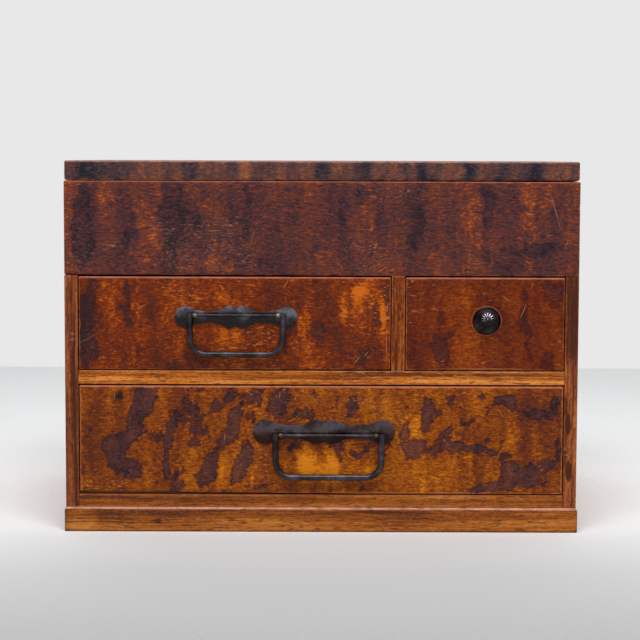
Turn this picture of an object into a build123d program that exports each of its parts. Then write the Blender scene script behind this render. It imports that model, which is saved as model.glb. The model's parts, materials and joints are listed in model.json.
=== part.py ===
from build123d import *
import math
import os

# A small tansu chest of the sewing-box kind, in millimetres.
# X runs to the right, Y to the back and Z up.
# The origin is the middle of the plinth's footprint, on the floor.

# Carcass
carcass_width = 345.0
carcass_depth = 235.0
side_thickness = 9.0
back_thickness = 6.5
bottom_thickness = 8.7
shelf_thickness = 9.3
divider_thickness = 9.0
divider_offset = 51.4  # middle of the divider, right of the chest's middle
floor_thickness = 5.5  # floor of the compartment under the lid
panel_thickness = 9.0  # fixed front of that compartment
lower_bay_height = 74.9
upper_bay_height = 64.1
panel_height = 63.1
housing_depth = 3.0  # how far shelves are let into the sides
back_lap = 4.5  # width of the rebate that takes the back board
board_arris = 0.9  # worn edges of the front panel and the sides
rail_arris = 0.5  # worn edges of shelf, bottom and divider

# Plinth
plinth_height = 16.5
plinth_strip = 15.0
plinth_front_proud = 2.0
plinth_side_proud = 0.9
plinth_moulding = 2.6  # rounding along the upper edge
plinth_corner = 1.8

# Lid and its two hinges
lid_thickness = 13.1
lid_side_inset = 0.5
lid_seam = 0.3
lid_arris = 1.3
hinge_spread = 210.0  # between the middles of the two hinges
hinge_length = 34.0
hinge_leaf_margin = 2.0  # lid above its leaf
hinge_leaf_thickness = 1.0
hinge_knuckle_radius = 2.2
hinge_pin_radius = 1.2
hinge_pin_clearance = 0.05
hinge_pin_overhang = 0.6
hinge_gap = 0.3  # between knuckles, and between barrel and wood
hinge_nail_spread = 22.0
hinge_nail_depth = 5.0
hinge_nail_radius = 0.7
hinge_nail_head_radius = 1.6
hinge_nail_head_height = 0.6

# Drawers
drawer_side_gap = 0.5
drawer_top_gap = 0.9
drawer_running_gap = 0.1
drawer_back_gap = 0.5
drawer_front_lift = 0.6  # lower edge of a front above the board it runs on
drawer_front_thickness = 11.0
drawer_front_lap = 4.5  # part of a front that covers the ends of its sides
drawer_wall_thickness = 6.0
drawer_wall_drop = 2.0  # walls stay this much below the front's top edge
drawer_bottom_thickness = 4.0
drawer_front_arris = 0.8

# Square tapered wooden nails
nail_head = 2.4
nail_tip = 1.4
nail_length = 17.0
drawer_nail_length = 11.0
nail_end_margin = 16.0  # first and last nail of a row, from the row's ends

# Back plate, bail and split pins of the upper left drawer
upper_plate_length = 82.4
upper_plate_lobe = 7.25
upper_plate_neck = 3.6
upper_plate_bump = 7.6
upper_plate_notch = 6.0
upper_plate_bump_offset = 4.2
upper_plate_neck_offset = 17.5
upper_handle_shift = 0.9  # plate's middle from the middle of the drawer's front
upper_handle_rise = 4.3
upper_bail_shift = 0.4  # bail's middle from the plate's
upper_bail_rise = 1.4
upper_bail_width = 62.7  # between the middles of the legs
upper_bail_drop = 26.3  # from the pivot to the middle of the grip
upper_bail_radius = 1.95

# Back plate, bail and split pins of the lower drawer
lower_plate_length = 95.8
lower_plate_lobe = 8.3
lower_plate_neck = 4.5
lower_plate_bump = 8.1
lower_plate_notch = 6.8
lower_plate_bump_offset = 5.4
lower_plate_neck_offset = 20.0
lower_handle_shift = 1.8
lower_handle_rise = 5.6
lower_bail_shift = 3.1
lower_bail_rise = -2.0
lower_bail_width = 71.9
lower_bail_drop = 28.5
lower_bail_radius = 2.15
spare_hole_radius = 0.95  # old fixing hole, up and out from the left split pin
spare_hole_rise = 3.0
spare_hole_shift = 2.9

# Sizes that both handles share
plate_thickness = 0.9
bail_corner = 10.2
bail_lean = 0.8  # each leg leans in by this much towards the grip
bail_leg_overrun = 1.2  # leg above the pivot
bail_leg_arris = 0.5
bail_bar_radius = 1.05
bail_plate_gap = 0.9  # between a leg and the back plate
bail_pin_gap = 0.35  # between a leg and its split pin
pin_width = 2.6
pin_strip = 0.6
pin_bar_clearance = 0.08
pin_hole_clearance = 0.1
pin_tail = 7.0

# Knob of the upper right drawer
knob_shift = 1.0
knob_rise = 2.2
knob_plate_radius = 9.65
knob_plate_rim = 1.3
knob_plate_bead = 1.1
knob_plate_crown = 2.0
knob_head_radius = 5.4
knob_head_edge = 1.1
knob_head_crown = 1.5
knob_projection = 9.0
knob_neck_radius = 2.4
knob_neck_clearance = 0.6
knob_tilt = 11.0  # degrees, the face is turned up a little
knob_petals = 12
knob_petal_groove = 0.6
knob_eye_radius = 0.9
knob_shank_radius = 1.7
knob_shank_clearance = 0.1
knob_washer_radius = 5.0
knob_washer_thickness = 1.0
knob_rivet_radius = 2.8
knob_rivet_height = 1.1

# Places worked out from the sizes above
half_width = carcass_width / 2
inner_x = half_width - side_thickness
front_y = plinth_front_proud - (carcass_depth + plinth_front_proud) / 2
back_y = front_y + carcass_depth
back_inner_y = back_y - back_thickness
housing_y = front_y + panel_thickness
lower_bay_z = plinth_height + bottom_thickness
shelf_z = lower_bay_z + lower_bay_height
upper_bay_z = shelf_z + shelf_thickness
panel_z = upper_bay_z + upper_bay_height
carcass_top_z = panel_z + panel_height
lid_z = carcass_top_z + lid_seam
lid_top_z = lid_z + lid_thickness
divider_left_x = divider_offset - divider_thickness / 2
divider_right_x = divider_offset + divider_thickness / 2
hinge_y = back_y + hinge_gap + hinge_knuckle_radius
hinge_z = carcass_top_z + lid_seam / 2


def block(x, y, z):
    # A box between three (low, high) pairs.
    corner = (Align.MIN, Align.MIN, Align.MIN)
    return Pos(x[0], y[0], z[0]) * Box(x[1] - x[0], y[1] - y[0], z[1] - z[0], align=corner)


def round_front(board, radius):
    # Worn arrises all round a board's front face.
    return fillet(board.edges().group_by(Axis.Y)[0], radius)


def spaced(low, high, count):
    # Places of a row of nails between the ends of a board.
    first = low + nail_end_margin
    step = (high - nail_end_margin - first) / (count - 1)
    return [first + step * i for i in range(count)]


def driven_nails(points, direction, length):
    # Square nails with their heads flush at the points, all driven one way.
    head = Plane.XY * Rectangle(nail_head, nail_head)
    tip = Plane.XY.offset(length) * Rectangle(nail_tip, nail_tip)
    nail = loft([head, tip])
    across = (0, 1, 0) if direction[0] else (1, 0, 0)
    return [Plane(origin=point, x_dir=across, z_dir=direction) * nail for point in points]


def pierced(piece, fasteners):
    # The piece with a fitting hole for each fastener that reaches it.
    box = piece.bounding_box()
    reaching = [item for item in fasteners if box.overlaps(item.bounding_box())]
    return piece - reaching if reaching else piece


# Carcass: the boards between the sides are let into stopped housings, and the
# front panel of the lidded compartment sits in a notch of each side.


def housed_board(low_z, thickness, start_y):
    height = (low_z, low_z + thickness)
    reach = inner_x + housing_depth
    board = block((-inner_x, inner_x), (start_y, back_inner_y), height)
    return board + block((-reach, reach), (housing_y, back_inner_y), height)


def make_side(housed_boards):
    height = (plinth_height, carcass_top_z)
    board = block((inner_x, half_width), (front_y, back_y), height)
    board = fillet(board.edges().filter_by(Axis.Z).group_by(Axis.X)[-1], board_arris)
    board -= block((inner_x, half_width), (front_y, housing_y), (panel_z, carcass_top_z))
    board -= block((inner_x, inner_x + back_lap), (back_inner_y, back_y), height)
    return board - housed_boards


def make_carcass():
    bottom = housed_board(plinth_height, bottom_thickness, front_y)
    shelf = housed_board(shelf_z, shelf_thickness, front_y)
    floor = housed_board(panel_z, floor_thickness, housing_y)
    right = make_side([bottom, shelf, floor])
    divider_x = (divider_left_x, divider_right_x)
    divider = block(divider_x, (front_y, back_inner_y), (upper_bay_z, panel_z))
    panel = block((-half_width, half_width), (front_y, housing_y), (panel_z, carcass_top_z))
    reach = inner_x + back_lap
    back = block((-reach, reach), (back_inner_y, back_y), (plinth_height, carcass_top_z))
    return {
        "left_side": mirror(right, about=Plane.YZ),
        "right_side": right,
        "back_board": back,
        "bottom_board": round_front(bottom, rail_arris),
        "middle_shelf": round_front(shelf, rail_arris),
        "compartment_floor": floor,
        "drawer_divider": round_front(divider, rail_arris),
        "front_panel": round_front(panel, board_arris),
    }


def carcass_nails():
    bottom_z = plinth_height + bottom_thickness / 2
    middle_z = shelf_z + shelf_thickness / 2
    floor_z = panel_z + floor_thickness / 2
    board_levels = [bottom_z, middle_z, floor_z]
    along_depth = spaced(housing_y, back_inner_y, 3)
    nails = []
    for side in (-1, 1):
        ends = [(side * half_width, y, z) for z in board_levels for y in along_depth]
        nails += driven_nails(ends, (-side, 0, 0), nail_length)
        lap_x = side * (inner_x + back_lap / 2)
        rebate = [(lap_x, back_y, z) for z in spaced(lower_bay_z, panel_z, 3)]
        nails += driven_nails(rebate, (0, -1, 0), nail_length)
    across = [(x, back_y, z) for z in board_levels for x in (-inner_x / 2, inner_x / 2)]
    nails += driven_nails(across, (0, -1, 0), nail_length)
    divider_ends = [(divider_offset, y, shelf_z) for y in along_depth]
    nails += driven_nails(divider_ends, (0, 0, 1), nail_length)
    return nails


def make_plinth():
    half = half_width + plinth_side_proud
    low_y = front_y - plinth_front_proud
    frame = block((-half, half), (low_y, back_y), (0, plinth_height))
    frame = fillet(frame.edges().filter_by(Axis.Z), plinth_corner)
    frame = fillet(frame.edges().group_by(Axis.Z)[-1], plinth_moulding)
    front_strip = (low_y, low_y + plinth_strip)
    back_strip = (back_y - plinth_strip, back_y)
    between = (front_strip[1], back_strip[0])
    height = (0, plinth_height)
    return {
        "plinth_front": frame & block((-half, half), front_strip, height),
        "plinth_back": frame & block((-half, half), back_strip, height),
        "plinth_left": frame & block((-half, plinth_strip - half), between, height),
        "plinth_right": frame & block((half - plinth_strip, half), between, height),
    }


def plinth_nails():
    # Driven up through the strips, most of the way through the bottom board.
    length = plinth_height + 0.8 * bottom_thickness
    front_mid = front_y - plinth_front_proud + plinth_strip / 2
    back_mid = back_inner_y - plinth_strip / 4
    points = [(x, y, 0) for x in spaced(-inner_x, inner_x, 3) for y in (front_mid, back_mid)]
    side_x = half_width - side_thickness / 2
    points += [(side * side_x, y, 0) for side in (-1, 1) for y in (front_y / 2, back_y / 2)]
    return driven_nails(points, (0, 0, 1), length)


# Lid and its butt hinges, nailed on the back edges of lid and back board.


def make_lid():
    half = half_width - lid_side_inset
    lid = block((-half, half), (front_y, back_y), (lid_z, lid_top_z))
    return fillet(lid.edges(), lid_arris)


def along_hinge(radius, x):
    return Pos((x[0] + x[1]) / 2, hinge_y, hinge_z) * Rot(0, 90, 0) * Cylinder(radius, x[1] - x[0])


def hinge_leaf(middle_x, knuckles, up):
    # A leaf on the back face with its own knuckles, going up or down from the pivot.
    clear = hinge_knuckle_radius + hinge_gap
    reach = lid_seam / 2 + lid_thickness - hinge_leaf_margin
    thickness = (back_y, back_y + hinge_leaf_thickness)
    length = (middle_x - hinge_length / 2, middle_x + hinge_length / 2)
    leaf = block(length, thickness, (hinge_z + clear, hinge_z + reach))
    for knuckle in knuckles:
        leaf += block(knuckle, thickness, (hinge_z, hinge_z + clear))
        leaf += along_hinge(hinge_knuckle_radius, knuckle)
    leaf -= along_hinge(hinge_pin_radius + hinge_pin_clearance, length)
    return leaf if up else mirror(leaf, about=Plane.XY.offset(hinge_z))


def hinge_nails(middle_x, up):
    clear = hinge_knuckle_radius + hinge_gap
    reach = lid_seam / 2 + lid_thickness - hinge_leaf_margin
    height = hinge_z + (clear + reach) / 2 * (1 if up else -1)
    length = hinge_leaf_thickness + hinge_nail_depth
    base = (Align.CENTER, Align.CENTER, Align.MIN)
    head = Cone(hinge_nail_head_radius, hinge_nail_head_radius / 2, hinge_nail_head_height, align=base)
    nail = head + Pos(0, 0, -length) * Cylinder(hinge_nail_radius, length, align=base)
    outer_y = back_y + hinge_leaf_thickness
    places = [middle_x - hinge_nail_spread / 2, middle_x + hinge_nail_spread / 2]
    return [Plane(origin=(x, outer_y, height), x_dir=(1, 0, 0), z_dir=(0, 1, 0)) * nail for x in places]


def make_hinge(middle_x):
    third = hinge_length / 3
    low = middle_x - hinge_length / 2
    half_gap = hinge_gap / 2
    middle = (low + third + half_gap, low + 2 * third - half_gap)
    outer = [(low, low + third - half_gap), (low + 2 * third + half_gap, low + hinge_length)]
    pin = along_hinge(hinge_pin_radius, (low - hinge_pin_overhang, low + hinge_length + hinge_pin_overhang))
    return {
        "lid_leaf": hinge_leaf(middle_x, [middle], True),
        "carcass_leaf": hinge_leaf(middle_x, outer, False),
        "pin": pin,
        "lid_nails": hinge_nails(middle_x, True),
        "carcass_nails": hinge_nails(middle_x, False),
    }


# Drawers: the front covers the ends of the sides and of the bottom, which runs
# under all four walls, and every joint is nailed.


def make_drawer(bay_x, bay_z, bay_height):
    x = (bay_x[0] + drawer_side_gap, bay_x[1] - drawer_side_gap)
    y = (front_y + drawer_front_lap, back_inner_y - drawer_back_gap)
    front_inner_y = front_y + drawer_front_thickness
    base_z = bay_z + drawer_running_gap
    wall_z = base_z + drawer_bottom_thickness
    top_z = bay_z + bay_height - drawer_top_gap
    walls = (wall_z, top_z - drawer_wall_drop)
    inside_x = (x[0] + drawer_wall_thickness, x[1] - drawer_wall_thickness)
    left = block((x[0], inside_x[0]), y, walls)
    right = block((inside_x[1], x[1]), y, walls)
    back = block(inside_x, (y[1] - drawer_wall_thickness, y[1]), walls)
    bottom = block(x, y, (base_z, wall_z))
    front = block(x, (front_y, front_inner_y), (bay_z + drawer_front_lift, top_z))
    front = round_front(front, drawer_front_arris) - [left, right, bottom]

    lap_mid = (y[0] + front_inner_y) / 2
    back_mid = y[1] - drawer_wall_thickness / 2
    levels = spaced(*walls, 2)
    nails = []
    for side, edge in ((1, x[0]), (-1, x[1])):
        points = [(edge, place, z) for place in (lap_mid, back_mid) for z in levels]
        nails += driven_nails(points, (side, 0, 0), drawer_nail_length)
        wall_x = edge + side * drawer_wall_thickness / 2
        under = [(wall_x, place, base_z) for place in spaced(front_inner_y, y[1], 3)]
        nails += driven_nails(under, (0, 0, 1), drawer_nail_length)
    under_back = [(place, back_mid, base_z) for place in spaced(*inside_x, 2)]
    nails += driven_nails(under_back, (0, 0, 1), drawer_nail_length)

    walls_made = {"front": front, "left_side": left, "right_side": right, "back": back, "bottom": bottom}
    pieces = {name: pierced(piece, nails) for name, piece in walls_made.items()}
    pieces["nails"] = nails
    middle = ((x[0] + x[1]) / 2, (bay_z + drawer_front_lift + top_z) / 2)
    return pieces, middle


# Fittings are drawn facing the viewer: X to the right, Y up, and Z out of the
# drawer's front, which is at Z = 0.


def on_front(x, z):
    return Plane(origin=(x, front_y, z), x_dir=(1, 0, 0), z_dir=(0, -1, 0))


def plate_outline(length, lobe, neck, bump, notch, bump_x, neck_x):
    # One quarter of the cusped plate: half of the double bump, the neck, half a lobe.
    half = length / 2
    lobe_x = half - lobe
    turn = math.radians(116)  # where the lobe's arc meets the flare of the neck
    meet = Vector(lobe_x + lobe * math.cos(turn), lobe * math.sin(turn))
    along = Vector(math.sin(turn), -math.cos(turn))
    span = neck_x - bump_x
    flare = meet.X - neck_x
    crest = Bezier((0, notch), (0.4 * bump_x, notch + 0.75 * (bump - notch)), (0.62 * bump_x, bump), (bump_x, bump))
    ogee = Bezier((bump_x, bump), (bump_x + 0.32 * span, bump), (neck_x - 0.62 * span, neck), (neck_x, neck))
    widening = Bezier((neck_x, neck), (neck_x + 0.5 * flare, neck), meet - along * 0.35 * flare, meet)
    end = ThreePointArc(meet, (lobe_x + lobe * math.cos(turn / 2), lobe * math.sin(turn / 2)), (half, 0))
    edge = crest + ogee + widening + end + Line((half, 0), (0, 0)) + Line((0, 0), (0, notch))
    upper = make_face(edge)
    upper += mirror(upper, about=Plane.YZ)
    return upper + mirror(upper, about=Plane.XZ)


def bail_standoff(leg_radius):
    # From the drawer's front to the bail's pivot.
    return plate_thickness + bail_plate_gap + leg_radius


def bail_pin_x(width, leg_radius):
    return width / 2 - leg_radius - bail_pin_gap - pin_width / 2


def pin_hole_radius():
    return math.hypot(pin_width / 2, pin_strip) + pin_hole_clearance


def make_bail(width, drop, radius):
    # A closed D: a bent wire whose square-cut legs carry a thin straight bar.
    top = (width / 2, bail_leg_overrun)
    foot = (width / 2 - bail_lean, -drop)
    path = FilletPolyline((-top[0], top[1]), (-foot[0], foot[1]), foot, top, radius=bail_corner)
    wire = sweep(Plane(origin=path @ 0, z_dir=path % 0) * Circle(radius), path=path)
    wire = fillet(wire.edges().group_by(Axis.Y)[-1], bail_leg_arris)
    bar = Rot(0, 90, 0) * Cylinder(bail_bar_radius, width)
    return Pos(0, 0, bail_standoff(radius)) * (wire + bar)


def make_split_pin(leg_radius):
    # A strip folded round the bail's bar, its two tails spread on the inner face.
    eye_z = bail_standoff(leg_radius)
    bore = bail_bar_radius + pin_bar_clearance
    tail_z = -drawer_front_thickness - pin_strip
    stem_length = eye_z - bore - pin_strip / 2 - tail_z
    low = (Align.CENTER, Align.MIN)
    profile = Pos(0, tail_z) * Rectangle(2 * pin_strip, stem_length, align=low)
    profile += Pos(0, tail_z) * Rectangle(2 * pin_tail, pin_strip, align=low)
    profile += Pos(0, eye_z) * Circle(bore + pin_strip)
    profile -= Pos(0, eye_z) * Circle(bore)
    return extrude(Plane.YZ * profile, amount=pin_width / 2, both=True)


def make_handle(outline, width, drop, leg_radius, shift, rise):
    # Plate, bail and pins about the plate's middle; shift and rise place the pivot.
    plate = extrude(outline, plate_thickness)
    pin_x = bail_pin_x(width, leg_radius)
    pins = [Pos(shift + side * pin_x, rise, 0) * make_split_pin(leg_radius) for side in (-1, 1)]
    bail = Pos(shift, rise, 0) * make_bail(width, drop, leg_radius)
    return {"back_plate": plate, "bail": bail, "split_pins": pins}


def pin_drillings(width, leg_radius, shift, rise):
    # Drillings for both pins, through the plate and the drawer's front.
    depth = drawer_front_thickness + plate_thickness
    base = (Align.CENTER, Align.CENTER, Align.MAX)
    hole = Pos(0, 0, plate_thickness) * Cylinder(pin_hole_radius(), depth, align=base)
    pin_x = bail_pin_x(width, leg_radius)
    return [Pos(shift + side * pin_x, rise, 0) * hole for side in (-1, 1)]


def make_knob_plate():
    # Round plate with a beaded rim and a low crown, open at the neck.
    bore = knob_neck_radius + knob_neck_clearance
    bead_x = knob_plate_radius - knob_plate_bead
    outer = Line((bore, 0), (knob_plate_radius, 0)) + Line((knob_plate_radius, 0), (knob_plate_radius, 0.3))
    bead_top = (knob_plate_radius - knob_plate_bead / 2, knob_plate_rim)
    bead = ThreePointArc((knob_plate_radius, 0.3), bead_top, (bead_x, 0.6 * knob_plate_rim))
    crown = Bezier((bead_x, 0.6 * knob_plate_rim), (0.75 * bead_x, 0.7 * knob_plate_rim),
                   (0.6 * bead_x, knob_plate_crown), (bore, knob_plate_crown))
    closing = Line((bore, knob_plate_crown), (bore, 0))
    profile = make_face(outer + bead + crown + closing)
    return revolve(Plane.XZ * profile, Axis.Z)


def make_knob_head():
    # Neck and chrysanthemum head, turned, then cut by radial grooves into petals.
    neck_base = 0.6
    face_z = knob_projection - knob_head_crown
    under_z = face_z - knob_head_edge
    side = Polyline((0, neck_base), (knob_neck_radius, neck_base), (knob_neck_radius, 0.55 * under_z))
    flare = Bezier((knob_neck_radius, 0.55 * under_z), (knob_neck_radius, 0.9 * under_z),
                   (0.75 * knob_head_radius, under_z), (knob_head_radius, under_z + 0.3))
    edge = Line((knob_head_radius, under_z + 0.3), (knob_head_radius, face_z))
    dome = Bezier((knob_head_radius, face_z), (0.8 * knob_head_radius, knob_projection),
                  (0.4 * knob_head_radius, knob_projection), (0, knob_projection))
    closing = Line((0, knob_projection), (0, neck_base))
    head = revolve(Plane.XZ * make_face(side + flare + edge + dome + closing), Axis.Z)
    slope = math.degrees(math.atan2(knob_head_crown, knob_head_radius))
    groove = Pos(0.55 * knob_head_radius, 0, knob_projection - 0.1) * Rot(0, 90 + slope, 0)
    groove *= Cylinder(knob_petal_groove, 1.1 * knob_head_radius)
    head -= [turn * groove for turn in PolarLocations(0, knob_petals)]
    head += Pos(0, 0, knob_projection - 0.4) * Sphere(knob_eye_radius)
    return Rot(-knob_tilt, 0, 0) * head


def make_knob():
    # The head leans; its shank runs straight through the wood and is riveted over a washer.
    washer_z = -drawer_front_thickness - knob_washer_thickness
    top = (Align.CENTER, Align.CENTER, Align.MAX)
    start = knob_plate_crown + knob_neck_radius / 2
    shank = Pos(0, 0, start) * Cylinder(knob_shank_radius, start - washer_z, align=top)
    rivet = Pos(0, 0, washer_z) * Cone(0.6 * knob_rivet_radius, knob_rivet_radius, knob_rivet_height, align=top)
    washer = Pos(0, 0, washer_z + knob_washer_thickness) * (
        Cylinder(knob_washer_radius, knob_washer_thickness, align=top)
        - Cylinder(knob_shank_radius + knob_shank_clearance, knob_washer_thickness, align=top)
    )
    drilling = Cylinder(knob_shank_radius + knob_shank_clearance, drawer_front_thickness, align=top)
    pieces = {"knob": make_knob_head() + shank + rivet, "knob_plate": make_knob_plate(), "knob_washer": washer}
    return pieces, drilling


# Everything together, by node name.

parts = {}
fastened = carcass_nails()
under_nails = plinth_nails()
for name, piece in (make_carcass() | make_plinth()).items():
    parts[name] = pierced(piece, fastened + under_nails)
parts["carcass_nails"] = fastened
parts["plinth_nails"] = under_nails

lid = make_lid()
for side, sign in (("left", -1), ("right", 1)):
    hinge = make_hinge(sign * hinge_spread / 2)
    parts[f"{side}_hinge_lid_leaf"] = pierced(hinge["lid_leaf"], hinge["lid_nails"])
    parts[f"{side}_hinge_carcass_leaf"] = pierced(hinge["carcass_leaf"], hinge["carcass_nails"])
    parts[f"{side}_hinge_pin"] = hinge["pin"]
    parts.setdefault("hinge_lid_nails", []).extend(hinge["lid_nails"])
    parts.setdefault("hinge_carcass_nails", []).extend(hinge["carcass_nails"])
parts["lid"] = pierced(lid, parts["hinge_lid_nails"])
parts["back_board"] = pierced(parts["back_board"], parts["hinge_carcass_nails"])

bays = {
    "upper_left_drawer": ((-inner_x, divider_left_x), upper_bay_z, upper_bay_height),
    "upper_right_drawer": ((divider_right_x, inner_x), upper_bay_z, upper_bay_height),
    "lower_drawer": ((-inner_x, inner_x), lower_bay_z, lower_bay_height),
}
middles = {}
for drawer, bay in bays.items():
    pieces, middles[drawer] = make_drawer(*bay)
    for name, piece in pieces.items():
        parts[f"{drawer}_{name}"] = piece


def add_handle(drawer, name, outline, width, drop, leg_radius, plate_place, bail_place):
    middle = middles[drawer]
    place = on_front(middle[0] + plate_place[0], middle[1] + plate_place[1])
    handle = make_handle(outline, width, drop, leg_radius, *bail_place)
    drillings = pin_drillings(width, leg_radius, *bail_place)
    parts[f"{name}_back_plate"] = place * (handle["back_plate"] - drillings)
    parts[f"{name}_bail"] = place * handle["bail"]
    parts[f"{name}_split_pins"] = [place * pin for pin in handle["split_pins"]]
    parts[f"{drawer}_front"] -= [place * drilling for drilling in drillings]


upper_outline = plate_outline(
    upper_plate_length, upper_plate_lobe, upper_plate_neck, upper_plate_bump,
    upper_plate_notch, upper_plate_bump_offset, upper_plate_neck_offset,
)
add_handle(
    "upper_left_drawer", "upper_handle", upper_outline, upper_bail_width, upper_bail_drop,
    upper_bail_radius, (upper_handle_shift, upper_handle_rise), (upper_bail_shift, upper_bail_rise),
)

lower_outline = plate_outline(
    lower_plate_length, lower_plate_lobe, lower_plate_neck, lower_plate_bump,
    lower_plate_notch, lower_plate_bump_offset, lower_plate_neck_offset,
)
left_pin_x = lower_bail_shift - bail_pin_x(lower_bail_width, lower_bail_radius)
spare_hole = Pos(left_pin_x - spare_hole_shift, lower_bail_rise + spare_hole_rise) * Circle(spare_hole_radius)
add_handle(
    "lower_drawer", "lower_handle", lower_outline - spare_hole, lower_bail_width, lower_bail_drop,
    lower_bail_radius, (lower_handle_shift, lower_handle_rise), (lower_bail_shift, lower_bail_rise),
)

knob_pieces, knob_drilling = make_knob()
knob_middle = middles["upper_right_drawer"]
knob_place = on_front(knob_middle[0] + knob_shift, knob_middle[1] + knob_rise)
for name, piece in knob_pieces.items():
    parts[name] = knob_place * piece
parts["upper_right_drawer_front"] -= knob_place * knob_drilling

os.makedirs("parts", exist_ok=True)
for name, piece in parts.items():
    solids = piece if isinstance(piece, list) else piece.solids()
    export_step(Compound(children=list(solids)), f"parts/{name}.step")
print(len(parts), "pieces written")
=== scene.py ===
import bmesh
import bpy
import json
import math
from mathutils import Matrix, Vector, noise

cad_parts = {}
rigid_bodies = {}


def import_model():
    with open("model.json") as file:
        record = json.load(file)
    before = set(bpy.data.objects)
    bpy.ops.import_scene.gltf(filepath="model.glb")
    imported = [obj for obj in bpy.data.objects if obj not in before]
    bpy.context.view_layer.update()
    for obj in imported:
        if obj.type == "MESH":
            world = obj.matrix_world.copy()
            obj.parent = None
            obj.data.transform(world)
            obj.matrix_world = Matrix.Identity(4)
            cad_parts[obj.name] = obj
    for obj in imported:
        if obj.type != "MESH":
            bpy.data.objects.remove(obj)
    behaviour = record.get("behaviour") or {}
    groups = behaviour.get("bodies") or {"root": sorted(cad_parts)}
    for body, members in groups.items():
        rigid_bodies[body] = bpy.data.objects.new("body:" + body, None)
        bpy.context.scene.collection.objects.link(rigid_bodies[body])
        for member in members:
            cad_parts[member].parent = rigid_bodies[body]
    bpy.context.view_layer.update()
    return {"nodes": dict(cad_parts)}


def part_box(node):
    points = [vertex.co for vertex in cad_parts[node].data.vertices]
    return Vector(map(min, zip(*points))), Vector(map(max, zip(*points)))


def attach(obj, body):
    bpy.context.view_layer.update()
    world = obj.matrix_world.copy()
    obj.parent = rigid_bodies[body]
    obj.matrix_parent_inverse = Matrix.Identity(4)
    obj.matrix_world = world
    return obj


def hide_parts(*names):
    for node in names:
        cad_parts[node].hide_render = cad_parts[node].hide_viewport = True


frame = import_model()
nodes = frame["nodes"]
mm = 0.001
print("frame loaded:", len(nodes), "nodes")


# camera and lights

studio = {
    "lens": 103.8,
    "sensor": 36,
    "clip": (0.05, 20),
    "eye": (-1.07, -1349.5, 252.0),
    "pitchDown": 5.015,
    "roll": 0.19,
    "keyPlace": (20, -980, 1650),
    "keyAim": (0, -50, 120),
    "keySize": (1.3, 0.8),
    "keyPower": 26.0,
    "skyLevel": 0.5,
}


def tone(red, green, blue):  # 0 to 255 as seen on a screen
    channels = [c / 255 for c in (red, green, blue)]
    return tuple(c / 12.92 if c < 0.04 else ((c + 0.055) / 1.055) ** 2.4 for c in channels) + (1,)


def placed(name, data):
    made = bpy.data.objects.new(name, data)
    bpy.context.collection.objects.link(made)
    return made


def setUpCamera():
    lens = bpy.data.cameras.new("studioCamera")
    lens.lens = studio["lens"]
    lens.sensor_width = studio["sensor"]
    lens.clip_start, lens.clip_end = studio["clip"]
    camera = placed("studioCamera", lens)
    tilt = Matrix.Rotation(math.radians(90 - studio["pitchDown"]), 4, "X")
    roll = Matrix.Rotation(math.radians(studio["roll"]), 4, "Z")
    camera.matrix_world = Matrix.Translation(Vector(studio["eye"]) * mm) @ tilt @ roll
    bpy.context.scene.camera = camera


def setUpLights():
    lamp = bpy.data.lights.new("overheadSoftbox", "AREA")
    lamp.shape = "RECTANGLE"
    lamp.size, lamp.size_y = studio["keySize"]
    lamp.energy = studio["keyPower"]
    holder = placed("overheadSoftbox", lamp)
    holder.location = Vector(studio["keyPlace"]) * mm
    aim = Vector(studio["keyAim"]) * mm - holder.location
    holder.rotation_euler = aim.to_track_quat("-Z", "Y").to_euler()
    world = bpy.data.worlds.new("studioAir")
    bpy.context.scene.world = world
    world.use_nodes = True
    sky = world.node_tree.nodes["Background"]
    sky.inputs["Color"].default_value = (1, 1, 1, 1)
    sky.inputs["Strength"].default_value = studio["skyLevel"]


setUpCamera()
setUpLights()
bpy.context.scene.view_settings.view_transform = "Standard"
print("camera and lights placed")


# finishes: one procedural material each, in object coordinates; a node is made after those that feed it,
# because Cycles works through them in that order and has room for only so many open values


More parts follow.
